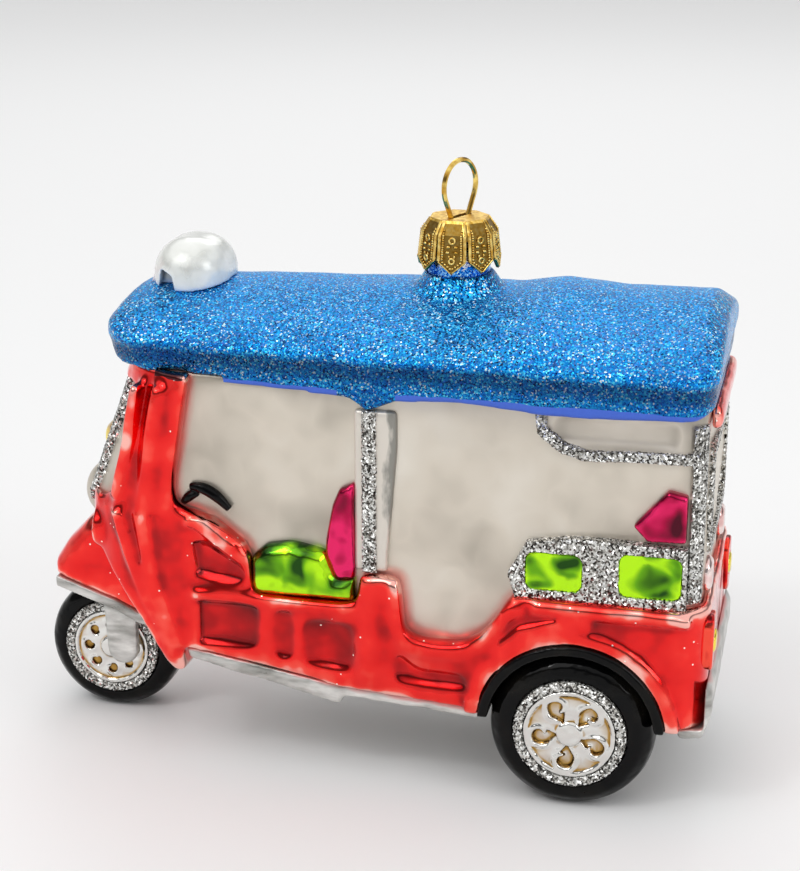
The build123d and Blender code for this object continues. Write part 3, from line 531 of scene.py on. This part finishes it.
# Painted light: faces turned up are painted a paler blue.
crown = finish.node(
    "ShaderNodeValToRGB", {"stops": [(0.80, (0, 0, 0, 1)), (0.99, (1, 1, 1, 1))]}, {0: upward}
)
combed = finish.node("ShaderNodeMapping", sockets={"Vector": place, "Scale": (0.3, 1.0, 1.0)})
streak = finish.node(
    "ShaderNodeTexNoise", sockets={"Vector": combed, "Scale": 330.0, "Detail": 2.0}
)
thin = finish.node(
    "ShaderNodeValToRGB", {"stops": [(0.44, (0, 0, 0, 1)), (0.66, (1, 1, 1, 1))]}, {0: streak}
)
streaked = finish.blend(thin * (1 - crown) * 0.45, shaded, paint(0, 62, 142))
dust_and_painted_top_light = finish.blend(crown * 0.35, streaked, paint(40, 146, 220))
lip = (height + (wave - 0.5) * 1.2 * mm) < lip_height
plain = lip * (abs(along - dab_middle) > dab_half)
coloured = finish.blend(plain, dust_and_painted_top_light, paint(66, 104, 208))
lean = finish.node(
    "ShaderNodeVectorMath", {"operation": "SUBTRACT"}, {0: flake, 1: (0.5, 0.5, 0.5)}
)
tilt = finish.node("ShaderNodeVectorMath", {"operation": "SCALE"}, {0: lean, "Scale": 1 - plain})
turned = finish.node("ShaderNodeVectorMath", {"operation": "ADD"}, {0: face, 1: tilt})
facing = finish.node("ShaderNodeVectorMath", {"operation": "NORMALIZE"}, {0: turned})
rough = draw * 0.2 + 0.16 + crown * 0.14 + plain * 0.2
metal = 0.85 - plain * 0.5
finish.feed(
    shader, {"Base Color": coloured, "Normal": facing, "Roughness": rough, "Metallic": metal}
)
roof.data.materials.append(glitter)

# Roof lamp: a small dome of the same glass, blown up through the roof and left in bare pearl, with
# a beak in front. The lacquer brushed round it has tinted its foot blue and its front a little red.
beak_back = 31.0 * mm
beak_long = 7.0 * mm
lamp_dome = blown_skin("roof_lamp_dome", ("roof_lamp",), grain=0.22 * mm, soften=10, keep=0.6)
hollows(lamp_dome, passes=20, depth=0.3 * mm)
mist(lamp_dome, [roof], reach=1.6 * mm)
bare, finish, shader = lacquer(
    "clear_pearl", paint(236, 238, 234), metallic=0.12, roughness=0.2, coat=0.5
)
place = finish.node("ShaderNodeTexCoord", out="Object")
along = finish.node("ShaderNodeSeparateXYZ", sockets={0: place}, out="X")
cloud = finish.node("ShaderNodeTexNoise", sockets={"Vector": place, "Scale": 200.0, "Detail": 2.0})
dent = finish.node("ShaderNodeAttribute", {"attribute_name": "hollow"}, out="Fac")
foot = finish.node("ShaderNodeAttribute", {"attribute_name": "mist"}, out="Fac")
# Painted shade and painted highlight: the dome is painted grey in its hollows and whiter on its
# ridges.
shade = finish.node(
    "ShaderNodeValToRGB",
    {
        "stops": [
            (0.3, paint(248, 249, 246)),
            (0.48, paint(228, 230, 225)),
            (0.72, paint(140, 140, 134)),
        ]
    },
    {0: dent * 0.5 + 0.5 + (cloud - 0.5) * 0.5},
)
front = finish.node(
    "ShaderNodeValToRGB",
    {"stops": [(0.55, (0, 0, 0, 1)), (0.95, (1, 1, 1, 1))]},
    {0: (along - beak_back) / beak_long + (cloud - 0.5) * 1.2},
)
rosy = finish.blend(front * 0.45, shade, paint(236, 150, 158))
footed = finish.blend(foot * foot * 0.6, rosy, paint(110, 160, 215))
dimple = finish.node(
    "ShaderNodeBump",
    sockets={"Strength": 0.7, "Distance": 0.6 * mm, "Height": cloud},
    out="Normal",
)
finish.feed(shader, {"Base Color": footed, "Roughness": cloud * 0.3 + 0.08, "Normal": dimple})
lamp_dome.data.materials.append(bare)

# Tyres and arches: moulded in the same glass as the body, so that no wheel turns. Gloss black
# lacquer is brushed over them by hand, and lies unevenly.
tyres = blown_skin(
    "black_tyres", ("front_tyre", "rear_tyres"), grain=0.36 * mm, soften=12, keep=0.5
)
arches = blown_skin(
    "black_arches",
    ("rear_arches",),
    grain=0.3 * mm,
    soften=10,
    sink=True,
    way=(1, 0.97, 1),
    grow=0.2 * mm,
    keep=0.6,
)
jet, finish, shader = lacquer("jet_lacquer", paint(8, 8, 9), metallic=0.0, roughness=0.1)
finish.feed(shader, {"Specular IOR Level": 0.14})
place = finish.node("ShaderNodeTexCoord", out="Object")
stroke = finish.node("ShaderNodeTexNoise", sockets={"Vector": place, "Scale": 220.0, "Detail": 2.0})
shade = finish.node(
    "ShaderNodeValToRGB", {"stops": [(0.45, paint(3, 3, 4)), (0.8, paint(22, 20, 16))]}, {0: stroke}
)
flow = finish.node(
    "ShaderNodeBump",
    sockets={"Strength": 0.6, "Distance": 0.9 * mm, "Height": stroke},
    out="Normal",
)
finish.feed(shader, {"Base Color": shade, "Normal": flow, "Roughness": stroke * 0.12 + 0.03})
for piece in (tyres, arches):
    piece.data.materials.append(jet)

# Hubs: bare silvered glass, bright as a mirror, with amber lacquer run into the moulded recesses.
# A curl is moulded round each recess, and a ring of coarse silver glitter is glued round the hub.
curl_path = (
    (-1.5, -0.2),
    (-0.9, -1.0),
    (0.1, -1.15),
    (1.1, -0.7),
    (1.2, 0.4),
    (0.5, 1.15),
    (-0.4, 0.9),
    (-0.5, 0.2),
)
curl_shares = (0.5, 0.8, 1.0, 1.1, 1.3, 1.1, 0.9, 0.5)
curl_thick = 0.27
curl_depth = 0.48 * mm


def rod(points, thick, shares):
    """A smooth round rod along five or more points, each with its share of the thickness."""
    bpy.ops.object.select_all(action="DESELECT")
    bpy.ops.curve.primitive_nurbs_path_add()
    drawn = bpy.context.object
    line = drawn.data.splines[0]
    line.points.add(len(points) - len(line.points))
    for knot, place, share in zip(line.points, points, shares):
        knot.co = (*place, 1.0)
        knot.radius = share
    line.order_u = 3
    line.use_endpoint_u = True
    drawn.data.bevel_depth = thick
    drawn.data.bevel_resolution = 2
    drawn.data.use_fill_caps = True
    bpy.ops.object.convert(target="MESH")
    return bpy.context.object


def hub_curls(low, high, count, first, reach, size):
    """Curls round the recesses of a pair of hubs, one lot on each side."""
    middle = (low + high) / 2
    curls = []
    for side, face in ((1, high.y), (-1, low.y)):
        for k in range(count):
            turn = radians(first + 360 / count * k)
            out = Vector((cos(turn), 0, sin(turn)))
            across = Vector((-sin(turn), 0, cos(turn)))
            hub = Vector((middle.x, face - side * curl_depth, middle.z))
            points = [hub + out * (reach + size * a) + across * size * b for a, b in curl_path]
            curls.append(rod(points, curl_thick * size, curl_shares))
    return curls


rear_low, rear_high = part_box("rear_hubs")
front_low, front_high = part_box("front_hubs")
curls = [
    *hub_curls(rear_low, rear_high, count=5, first=61, reach=4.5 * mm, size=1.55 * mm),
    *hub_curls(front_low, front_high, count=8, first=90, reach=4.0 * mm, size=0.95 * mm),
]
hubs = blown_skin(
    "mirror_hubs",
    ("front_hubs", "rear_hubs"),
    grain=0.17 * mm,
    soften=7,
    sink=True,
    way=(1, 0.99, 1),
    keep=0.5,
    added=curls,
)
hollows(hubs, passes=24, depth=0.3 * mm)
mirror, finish, shader = lacquer(
    "mirror_silver", paint(228, 226, 222), metallic=1.0, roughness=0.06
)
place = finish.node("ShaderNodeTexCoord", out="Object")
crease = finish.node("ShaderNodeAttribute", {"attribute_name": "hollow"}, out="Fac")
run_in = finish.node(
    "ShaderNodeValToRGB",
    {
        "stops": [
            (0.57, paint(224, 223, 219)),
            (0.66, paint(178, 140, 72)),
            (0.8, paint(56, 34, 8)),
        ]
    },
    {0: crease * 0.5 + 0.5},
)
wave = finish.node("ShaderNodeTexNoise", sockets={"Vector": place, "Scale": 420.0, "Detail": 1.0})
flow = finish.node(
    "ShaderNodeBump",
    sockets={"Strength": 0.9, "Distance": 0.8 * mm, "Height": wave},
    out="Normal",
)
finish.feed(shader, {"Base Color": run_in, "Normal": flow})
hubs.data.materials.append(mirror)

crust, finish, shader = lacquer(
    "silver_glitter", paint(210, 210, 210), metallic=0.6, roughness=0.22
)
place = finish.node("ShaderNodeTexCoord", out="Object")
spread = {"Vector": place, "Scale": 3500.0}
flake = finish.node("ShaderNodeTexVoronoi", sockets=spread, out="Color")
draw = finish.node("ShaderNodeSeparateColor", sockets={0: flake}, out="Blue")
# The flakes are painted from dark grey to white, as painted glints and painted shade; their tilted
# normals catch the lamps as well.
shade = finish.node(
    "ShaderNodeValToRGB",
    {
        "stops": [
            (0.05, paint(44, 42, 38)),
            (0.3, paint(112, 110, 104)),
            (0.6, paint(206, 204, 198)),
            (0.85, paint(255, 255, 252)),
        ]
    },
    {0: draw},
)
face = finish.node("ShaderNodeNewGeometry", out="Normal")
lean = finish.node(
    "ShaderNodeVectorMath", {"operation": "SUBTRACT"}, {0: flake, 1: (0.5, 0.5, 0.5)}
)
tilt = finish.node("ShaderNodeVectorMath", {"operation": "SCALE"}, {0: lean, "Scale": 1.5})
turned = finish.node("ShaderNodeVectorMath", {"operation": "ADD"}, {0: face, 1: tilt})
facing = finish.node("ShaderNodeVectorMath", {"operation": "NORMALIZE"}, {0: turned})
finish.feed(shader, {"Base Color": shade, "Normal": facing})
flake_size = 0.3 * mm
flake_stand = 0.4 * mm


def glitter_crust(name, nodes, grow=0.15 * mm, **shape):
    """A strip of coarse silver glitter glued on, rough with standing flakes."""
    strip = blown_skin(name, nodes, grain=0.17 * mm, soften=5, grow=grow, keep=0.65, **shape)
    uneven(strip, flake_size, flake_stand, middle=0.65)
    strip.data.materials.append(crust)
    return strip


glitter_crust("glitter_hub_rings", ("front_hub_rings", "rear_hub_rings"), grow=-0.08 * mm)

# Glitter lines: glue piped along the moulded frames of screen, post, quarter light and seat side,
# then dusted with coarse silver glitter.
glitter_crust("glitter_post_strips", ("post_strips",), sink=True)
glitter_crust("glitter_quarter_lines", ("quarter_lines",), sink=True)
glitter_crust("glitter_arm_frames", ("arm_frames",), sink=True)
glitter_crust("glitter_screen_line", ("screen_frame",), sink=True, way=(0.98, 1, 1))
glitter_crust("glitter_rear_line", ("rear_frame",), sink=True, way=(0.985, 1, 1))

# Grey trim: sills, floor, bumper, mudguard edge and fork, moulded with the body. Satin silver paint
# is brushed on along them, and the red lacquer beside it has run into it in places.
satin, finish, shader = lacquer("silver_paint", paint(176, 176, 172), metallic=0.7, roughness=0.38)
place = finish.node("ShaderNodeTexCoord", out="Object")
drawn = finish.node(
    "ShaderNodeMapping", sockets={"Vector": place, "Scale": (0.25, 0.25, 0.8)}
)
stroke = finish.node("ShaderNodeTexNoise", sockets={"Vector": drawn, "Scale": 700.0, "Detail": 4.0})
shade = finish.node(
    "ShaderNodeValToRGB",
    {
        "stops": [
            (0.3, paint(146, 145, 140)),
            (0.5, paint(192, 191, 187)),
            (0.75, paint(240, 239, 235)),
        ]
    },
    {0: stroke},
)
brush = finish.node(
    "ShaderNodeBump",
    sockets={"Strength": 0.5, "Distance": 0.12 * mm, "Height": stroke},
    out="Normal",
)
near_red = finish.node("ShaderNodeAttribute", {"attribute_name": "mist"}, out="Fac")
run = finish.node(
    "ShaderNodeValToRGB",
    {"stops": [(0.55, (0, 0, 0, 1)), (0.9, (1, 1, 1, 1))]},
    {0: near_red + (stroke - 0.5) * 1.4},
)
stained = finish.blend(run * 0.6, shade, paint(206, 52, 50))
finish.feed(shader, {"Base Color": stained, "Roughness": stroke * 0.4 + 0.16, "Normal": brush})
stain_reach = 1.4 * mm
trim_rows = (
    (
        "silver_sills",
        ("sills", "floor_pan"),
        {"grain": 0.34 * mm, "soften": 12, "sink": True, "way": (1, 0.97, 1), "wobble": 0.5 * mm},
    ),
    (
        "silver_bumper",
        ("bumper",),
        {"grain": 0.3 * mm, "soften": 16, "grow": -0.08 * mm, "wobble": 0.3 * mm},
    ),
    ("silver_guard_rim", ("guard_rim",), {"grain": 0.25 * mm, "soften": 12, "sink": True}),
    (
        "silver_fork",
        ("fork_covers",),
        {"grain": 0.22 * mm, "soften": 50, "sink": True, "grow": 0.15 * mm},
    ),
)
for name, nodes, shape in trim_rows:
    piece = blown_skin(name, nodes, keep=0.45, **shape)
    mist(piece, [red_skin], stain_reach)
    piece.data.materials.append(satin)

# Middle posts: ribs moulded in the same pearl glass between the two side openings. Grey paint is
# smeared on them behind the glitter line, most of all halfway up.
smear_front = -4.0 * mm
smear_wide = 3.4 * mm
smear_middle = 50.0 * mm
smear_tall = 60.0 * mm
posts = blown_skin(
    "pearl_posts",
    ("middle_posts",),
    grain=0.3 * mm,
    soften=40,
    sink=True,
    grow=0.2 * mm,
    keep=0.6,
)
smear, finish, shader = lacquer("smeared_pearl", paint(219, 212, 202), metallic=0.5, roughness=0.4)
place = finish.node("ShaderNodeTexCoord", out="Object")
along = finish.node("ShaderNodeSeparateXYZ", sockets={0: place}, out="X")
tall = finish.node("ShaderNodeSeparateXYZ", sockets={0: place}, out="Z")
drawn = finish.node("ShaderNodeMapping", sockets={"Vector": place, "Scale": (1.0, 1.0, 0.3)})
stroke = finish.node("ShaderNodeTexNoise", sockets={"Vector": drawn, "Scale": 500.0, "Detail": 4.0})
smeared = (smear_front - along) / smear_wide + (stroke - 0.5) * 1.1
behind = finish.node(
    "ShaderNodeValToRGB",
    {"stops": [(0.40, (0, 0, 0, 1)), (0.58, (1, 1, 1, 1))]},
    {0: smeared - abs(tall - smear_middle) / smear_tall},
)
greyed = finish.blend(behind * 0.85, paint(219, 212, 202), paint(122, 122, 116))
finish.feed(shader, {"Base Color": greyed, "Roughness": stroke * 0.3 + 0.25})
posts.data.materials.append(smear)

# Seats and lamps: green lacquer on the cushion and the bench side, magenta on the backrests, and
# yellow, red and pink on the lamps. Each is dabbed over the silvering, so that the light comes
# back through the colour. The headlamp keeps the pearl of the body.


def clear_colour(name, dark, middle, bright):
    """A transparent lacquer over silvering, with painted shade in its creases and on faces turned
    up.
    """
    made, finish, shader = lacquer(name, middle, metallic=0.95, roughness=0.14, coat=0.25)
    place = finish.node("ShaderNodeTexCoord", out="Object")
    pool = finish.node(
        "ShaderNodeTexNoise",
        sockets={"Vector": place, "Scale": 230.0, "Detail": 1.0, "Distortion": 0.6},
    )
    crease = finish.node("ShaderNodeAttribute", {"attribute_name": "hollow"}, out="Fac")
    face = finish.node("ShaderNodeNewGeometry", out="Normal")
    upward = finish.node("ShaderNodeSeparateXYZ", sockets={0: face}, out="Z")
    # Painted shade and painted highlight: the colour runs from bright on a ridge to dark in a
    # crease and on faces turned up.
    depth = finish.node(
        "ShaderNodeValToRGB",
        {"stops": [(0.25, bright), (0.48, middle), (0.74, dark)]},
        {0: crease * 0.5 + 0.5 + (pool - 0.5) * 1.7 + upward * 0.28},
    )
    flow = finish.node(
        "ShaderNodeBump",
        sockets={"Strength": 0.6, "Distance": 1.2 * mm, "Height": pool},
        out="Normal",
    )
    finish.feed(shader, {"Base Color": depth, "Normal": flow, "Roughness": pool * 0.14 + 0.07})
    return made


green = clear_colour("green_lacquer", paint(26, 70, 4), paint(104, 172, 14), paint(184, 244, 24))
magenta = clear_colour(
    "magenta_lacquer", paint(76, 0, 28), paint(178, 4, 66), paint(230, 34, 100)
)
amber = clear_colour(
    "yellow_lacquer", paint(150, 96, 6), paint(232, 190, 20), paint(252, 226, 90)
)
red_glass = clear_colour(
    "red_lamp_lacquer", paint(110, 4, 8), paint(220, 22, 24), paint(250, 80, 60)
)
rose = clear_colour(
    "rose_mist", paint(196, 150, 146), paint(232, 190, 186), paint(246, 226, 222)
)
facing_side = {"sink": True}
facing_end = {"sink": True, "way": (0.98, 1, 1)}
colour_rows = (
    (
        "green_cushion",
        ("driver_cushion",),
        green,
        "green_lacquer",
        {**facing_side, "soften": 90, "grow": 0.4 * mm},
    ),
    (
        "green_bench_panels",
        ("arm_panels",),
        green,
        "green_lacquer",
        {**facing_side, "soften": 26, "grow": 0.2 * mm},
    ),
    (
        "magenta_driver_back",
        ("driver_backrest",),
        magenta,
        "magenta_lacquer",
        {**facing_side, "soften": 36, "grow": 0.25 * mm},
    ),
    (
        "magenta_bench_back",
        ("bench_backrest",),
        magenta,
        "magenta_lacquer",
        {**facing_side, "soften": 30, "grow": 0.2 * mm},
    ),
    ("yellow_screen_boss", ("screen_boss",), amber, "yellow_lacquer", facing_end),
    ("pearl_headlamp", ("headlamp",), pearl, "pearl_glass", facing_end),
    ("tail_lamp_housings", ("tail_lamps",), red_glass, "red_lacquer", facing_end),
    ("tail_lamp_lenses", ("tail_lenses",), amber, "yellow_lacquer", facing_end),
    ("marker_lamp_domes", ("marker_lamps",), rose, "pink_glass", facing_end),
)
for name, nodes, colour, slot, shape in colour_rows:
    shape = {"soften": 14, "grow": 0.08 * mm, **shape}
    piece = blown_skin(name, nodes, grain=0.2 * mm, keep=0.6, wobble=0.3 * mm, **shape)
    hollows(piece, passes=40, depth=0.35 * mm)
    piece.data.materials.append(colour)

# Handlebar: one grip with its thumb rest, moulded on each side behind the screen pillar and touched
# in with a loaded brush of black, so both ends are round.
grip_low, grip_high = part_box("handlebar")
grip_inset = 0.75 * mm
grip_rows = (
    (
        0.92 * mm,
        (0.6, 0.95, 1.1, 1.0, 0.65),
        ((25.9, 47.6), (24.6, 47.7), (22.8, 47.1), (21.0, 45.9), (19.5, 44.3)),
    ),
    (
        0.85 * mm,
        (0.6, 0.9, 1.0, 0.9, 0.6),
        ((27.1, 44.8), (26.6, 45.4), (25.9, 46.0), (25.2, 46.4), (24.5, 46.6)),
    ),
)
rods = [
    rod([(x * mm, y, z * mm) for x, z in line], thick, shares)
    for y in (grip_high.y - grip_inset, grip_low.y + grip_inset)
    for thick, shares, line in grip_rows
]
grips = blown_skin("black_handlebar", (), grain=0.15 * mm, soften=5, keep=0.6, added=rods)
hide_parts("handlebar")
grips.data.materials.append(jet)

# Neck: the open spout that the bubble was blown through, cut off under the cap. Its glass is left
# silvered, and blue glitter from the roof is dusted over its foot.
dust_height = 81.6 * mm


def dress(node, made):
    """Gives a CAD piece that is shown as it is its finish."""
    frame["nodes"][node].data.materials.clear()
    frame["nodes"][node].data.materials.append(made)


dusted_neck, finish, shader = lacquer(
    "dusted_neck", paint(228, 226, 222), metallic=1.0, roughness=0.12
)
place = finish.node("ShaderNodeTexCoord", out="Object")
tall = finish.node("ShaderNodeSeparateXYZ", sockets={0: place}, out="Z")
spread = {"Vector": place, "Scale": 5200.0}
flake = finish.node("ShaderNodeTexVoronoi", sockets=spread, out="Color")
draw = finish.node("ShaderNodeSeparateColor", sockets={0: flake}, out="Green")
dust = finish.node(
    "ShaderNodeValToRGB",
    {
        "stops": [
            (0.2, paint(8, 60, 150)),
            (0.6, paint(18, 130, 225)),
            (0.95, paint(190, 240, 255)),
        ]
    },
    {0: draw},
)
dust_and_painted_top_light = tall + (draw - 0.5) * 2 * mm < dust_height
shade = finish.blend(dust_and_painted_top_light, paint(216, 214, 210), dust)
finish.feed(shader, {"Base Color": shade, "Roughness": draw * 0.3 + 0.08})
dress("neck", dusted_neck)

# Cap: thin gilt sheet stamped into eight hinged panels, each with beaded rails, a beaded point and
# a small flower. Its skirt grips the neck, which shows between the panels.
neck_x = (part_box("neck")[0].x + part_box("neck")[1].x) / 2
cap_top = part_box("cap")[1].z
skirt_top = cap_top - 0.4 * mm
shoulder_z = cap_top - 2.0 * mm
shoulder_out = 5.6 * mm
panel_count = 8
panel_flare = 0.65 / 6.0
crown_slope = 1.3 / 2.0
brass, finish, shader = lacquer("gilt_metal", paint(212, 172, 78), metallic=1.0, roughness=0.25)
place = finish.node("ShaderNodeTexCoord", out="Object")
tall = finish.node("ShaderNodeSeparateXYZ", sockets={0: place}, out="Z")
wear = finish.node("ShaderNodeTexNoise", sockets={"Vector": place, "Scale": 1500.0, "Detail": 3.0})
shade = finish.node(
    "ShaderNodeValToRGB",
    {
        "stops": [
            (0.3, paint(196, 150, 58)),
            (0.5, paint(236, 196, 98)),
            (0.75, paint(255, 232, 150)),
        ]
    },
    {0: wear},
)
# Below its very top the cap is painted dark brown behind the relief, partly as patina and partly as
# painted shade.
skirt = tall < skirt_top
skirt_patina_and_shade = finish.blend(skirt * 0.8, shade, paint(92, 63, 16))
pitted = finish.node(
    "ShaderNodeBump",
    sockets={"Strength": 0.6, "Distance": 0.12 * mm, "Height": wear},
    out="Normal",
)
finish.feed(shader, {"Base Color": skirt_patina_and_shade, "Roughness": wear * 0.3 + 0.26, "Normal": pitted})
dress("cap", brass)
bright, finish, shader = lacquer("gilt_relief", paint(240, 204, 108), metallic=1.0, roughness=0.18)
place = finish.node("ShaderNodeTexCoord", out="Object")
rub = finish.node("ShaderNodeTexNoise", sockets={"Vector": place, "Scale": 1200.0, "Detail": 2.0})
shade = finish.node(
    "ShaderNodeValToRGB",
    {"stops": [(0.35, paint(206, 158, 62)), (0.65, paint(252, 224, 136))]},
    {0: rub},
)
finish.feed(shader, {"Base Color": shade, "Roughness": rub * 0.25 + 0.1})


def on_panel(across, down, proud=0.0):
    """Place on the panel that faces forward: across it, down from the shoulder, and proud."""
    slope = panel_flare if down > 0 else crown_slope
    return (shoulder_out + slope * down * mm + proud * mm, across * mm, shoulder_z - down * mm)


def bead(place, size, stretch=(1, 1, 1)):
    """One stamped bead."""
    bpy.ops.mesh.primitive_ico_sphere_add(
        subdivisions=1, radius=size * mm, location=place, scale=stretch
    )
    bpy.ops.object.shade_smooth()
    return bpy.context.object


def rail(first, last, wide):
    """One stamped rail between two places on the panel."""
    middle = (Vector(first) + Vector(last)) / 2
    run = Vector(last) - Vector(first)
    bpy.ops.mesh.primitive_cube_add(size=1.0, location=middle)
    bar = bpy.context.object
    bar.scale = (0.3 * mm, wide * mm, run.length)
    bar.rotation_euler = run.to_track_quat("Z", "X").to_euler()
    bpy.ops.object.transform_apply(location=True, rotation=True, scale=True)
    work(bar, "BEVEL", width=0.1 * mm, segments=2)
    return bar


rail_rows = (
    ((1.45, -1.9), (1.92, 0.1)),
    ((1.92, 0.0), (2.05, 4.0)),
    ((2.1, 4.0), (0.1, 5.7)),
)
small_beads = [
    *((1.36 + 0.012 * k, 0.36 * k - 0.7) for k in range(13)),
    *((1.4 - 0.4 * k, 4.1 + 0.31 * k) for k in range(4)),
]
petal_rows = (
    (0.6, 1.75, 0.36, (0.8, 1.2, 0.8)),
    (0.66, 2.55, 0.36, (0.8, 1.15, 0.7)),
    (0.42, 3.2, 0.26, (0.8, 0.8, 1.3)),
)
ring_rows = ((0.8, 0.46), (3.9, 0.42))
bead_size = 0.22
bead_proud = 0.12
ring_proud = 0.08
rail_wide = 0.5
bpy.ops.object.select_all(action="DESELECT")
stamped = []
for side in (1, -1):
    for first, last in rail_rows:
        ends = [on_panel(side * across, down) for across, down in (first, last)]
        stamped.append(rail(*ends, rail_wide))
    for across, down in small_beads:
        stamped.append(bead(on_panel(side * across, down, bead_proud), bead_size))
    for across, down, size, stretch in petal_rows:
        stamped.append(bead(on_panel(side * across, down, bead_proud), size, stretch))
for down, size in ring_rows:
    bpy.ops.mesh.primitive_torus_add(
        location=on_panel(0.0, down, ring_proud),
        rotation=(0, radians(90), 0),
        major_radius=size * mm,
        minor_radius=0.2 * mm,
        major_segments=14,
        minor_segments=6,
    )
    bpy.ops.object.shade_smooth()
    stamped.append(bpy.context.object)
bpy.ops.object.select_all(action="DESELECT")
for part in stamped:
    part.select_set(True)
bpy.context.view_layer.objects.active = stamped[0]
bpy.ops.object.join()
bpy.ops.object.transform_apply(location=True, rotation=True, scale=True)
panels = [bpy.context.object]
for k in range(1, panel_count):
    bpy.ops.object.select_all(action="DESELECT")
    panels[0].select_set(True)
    bpy.context.view_layer.objects.active = panels[0]
    bpy.ops.object.duplicate()
    bpy.context.object.rotation_euler = (0, 0, radians(360 / panel_count * k))
    bpy.ops.object.transform_apply(location=True, rotation=True, scale=True)
    panels.append(bpy.context.object)
for panel in panels:
    panel.select_set(True)
bpy.ops.object.join()
relief = bpy.context.object
relief.name = "gilt_cap_relief"
relief.location = (neck_x, 0, 0)
bpy.ops.object.transform_apply(location=True, rotation=True, scale=True)
bpy.ops.object.mode_set(mode="EDIT")
bpy.ops.mesh.select_all(action="SELECT")
bpy.ops.mesh.normals_make_consistent(inside=False)
bpy.ops.object.mode_set(mode="OBJECT")
relief.data.materials.clear()
relief.data.materials.append(bright)
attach(relief, "cap")

# Hanger: one length of sprung brass wire, bent to an oval loop. Its two legs go down through the
# slot in the cap and spring apart inside the neck, which holds the cap on.
wire, finish, shader = lacquer("brass_wire", paint(226, 186, 88), metallic=1.0, roughness=0.14)
place = finish.node("ShaderNodeTexCoord", out="Object")
drawn = finish.node("ShaderNodeTexNoise", sockets={"Vector": place, "Scale": 700.0, "Detail": 2.0})
shade = finish.node(
    "ShaderNodeValToRGB",
    {"stops": [(0.35, paint(196, 150, 60)), (0.65, paint(246, 214, 120))]},
    {0: drawn},
)
finish.feed(shader, {"Base Color": shade, "Roughness": drawn * 0.2 + 0.06})
dress("hanger_wire", wire)
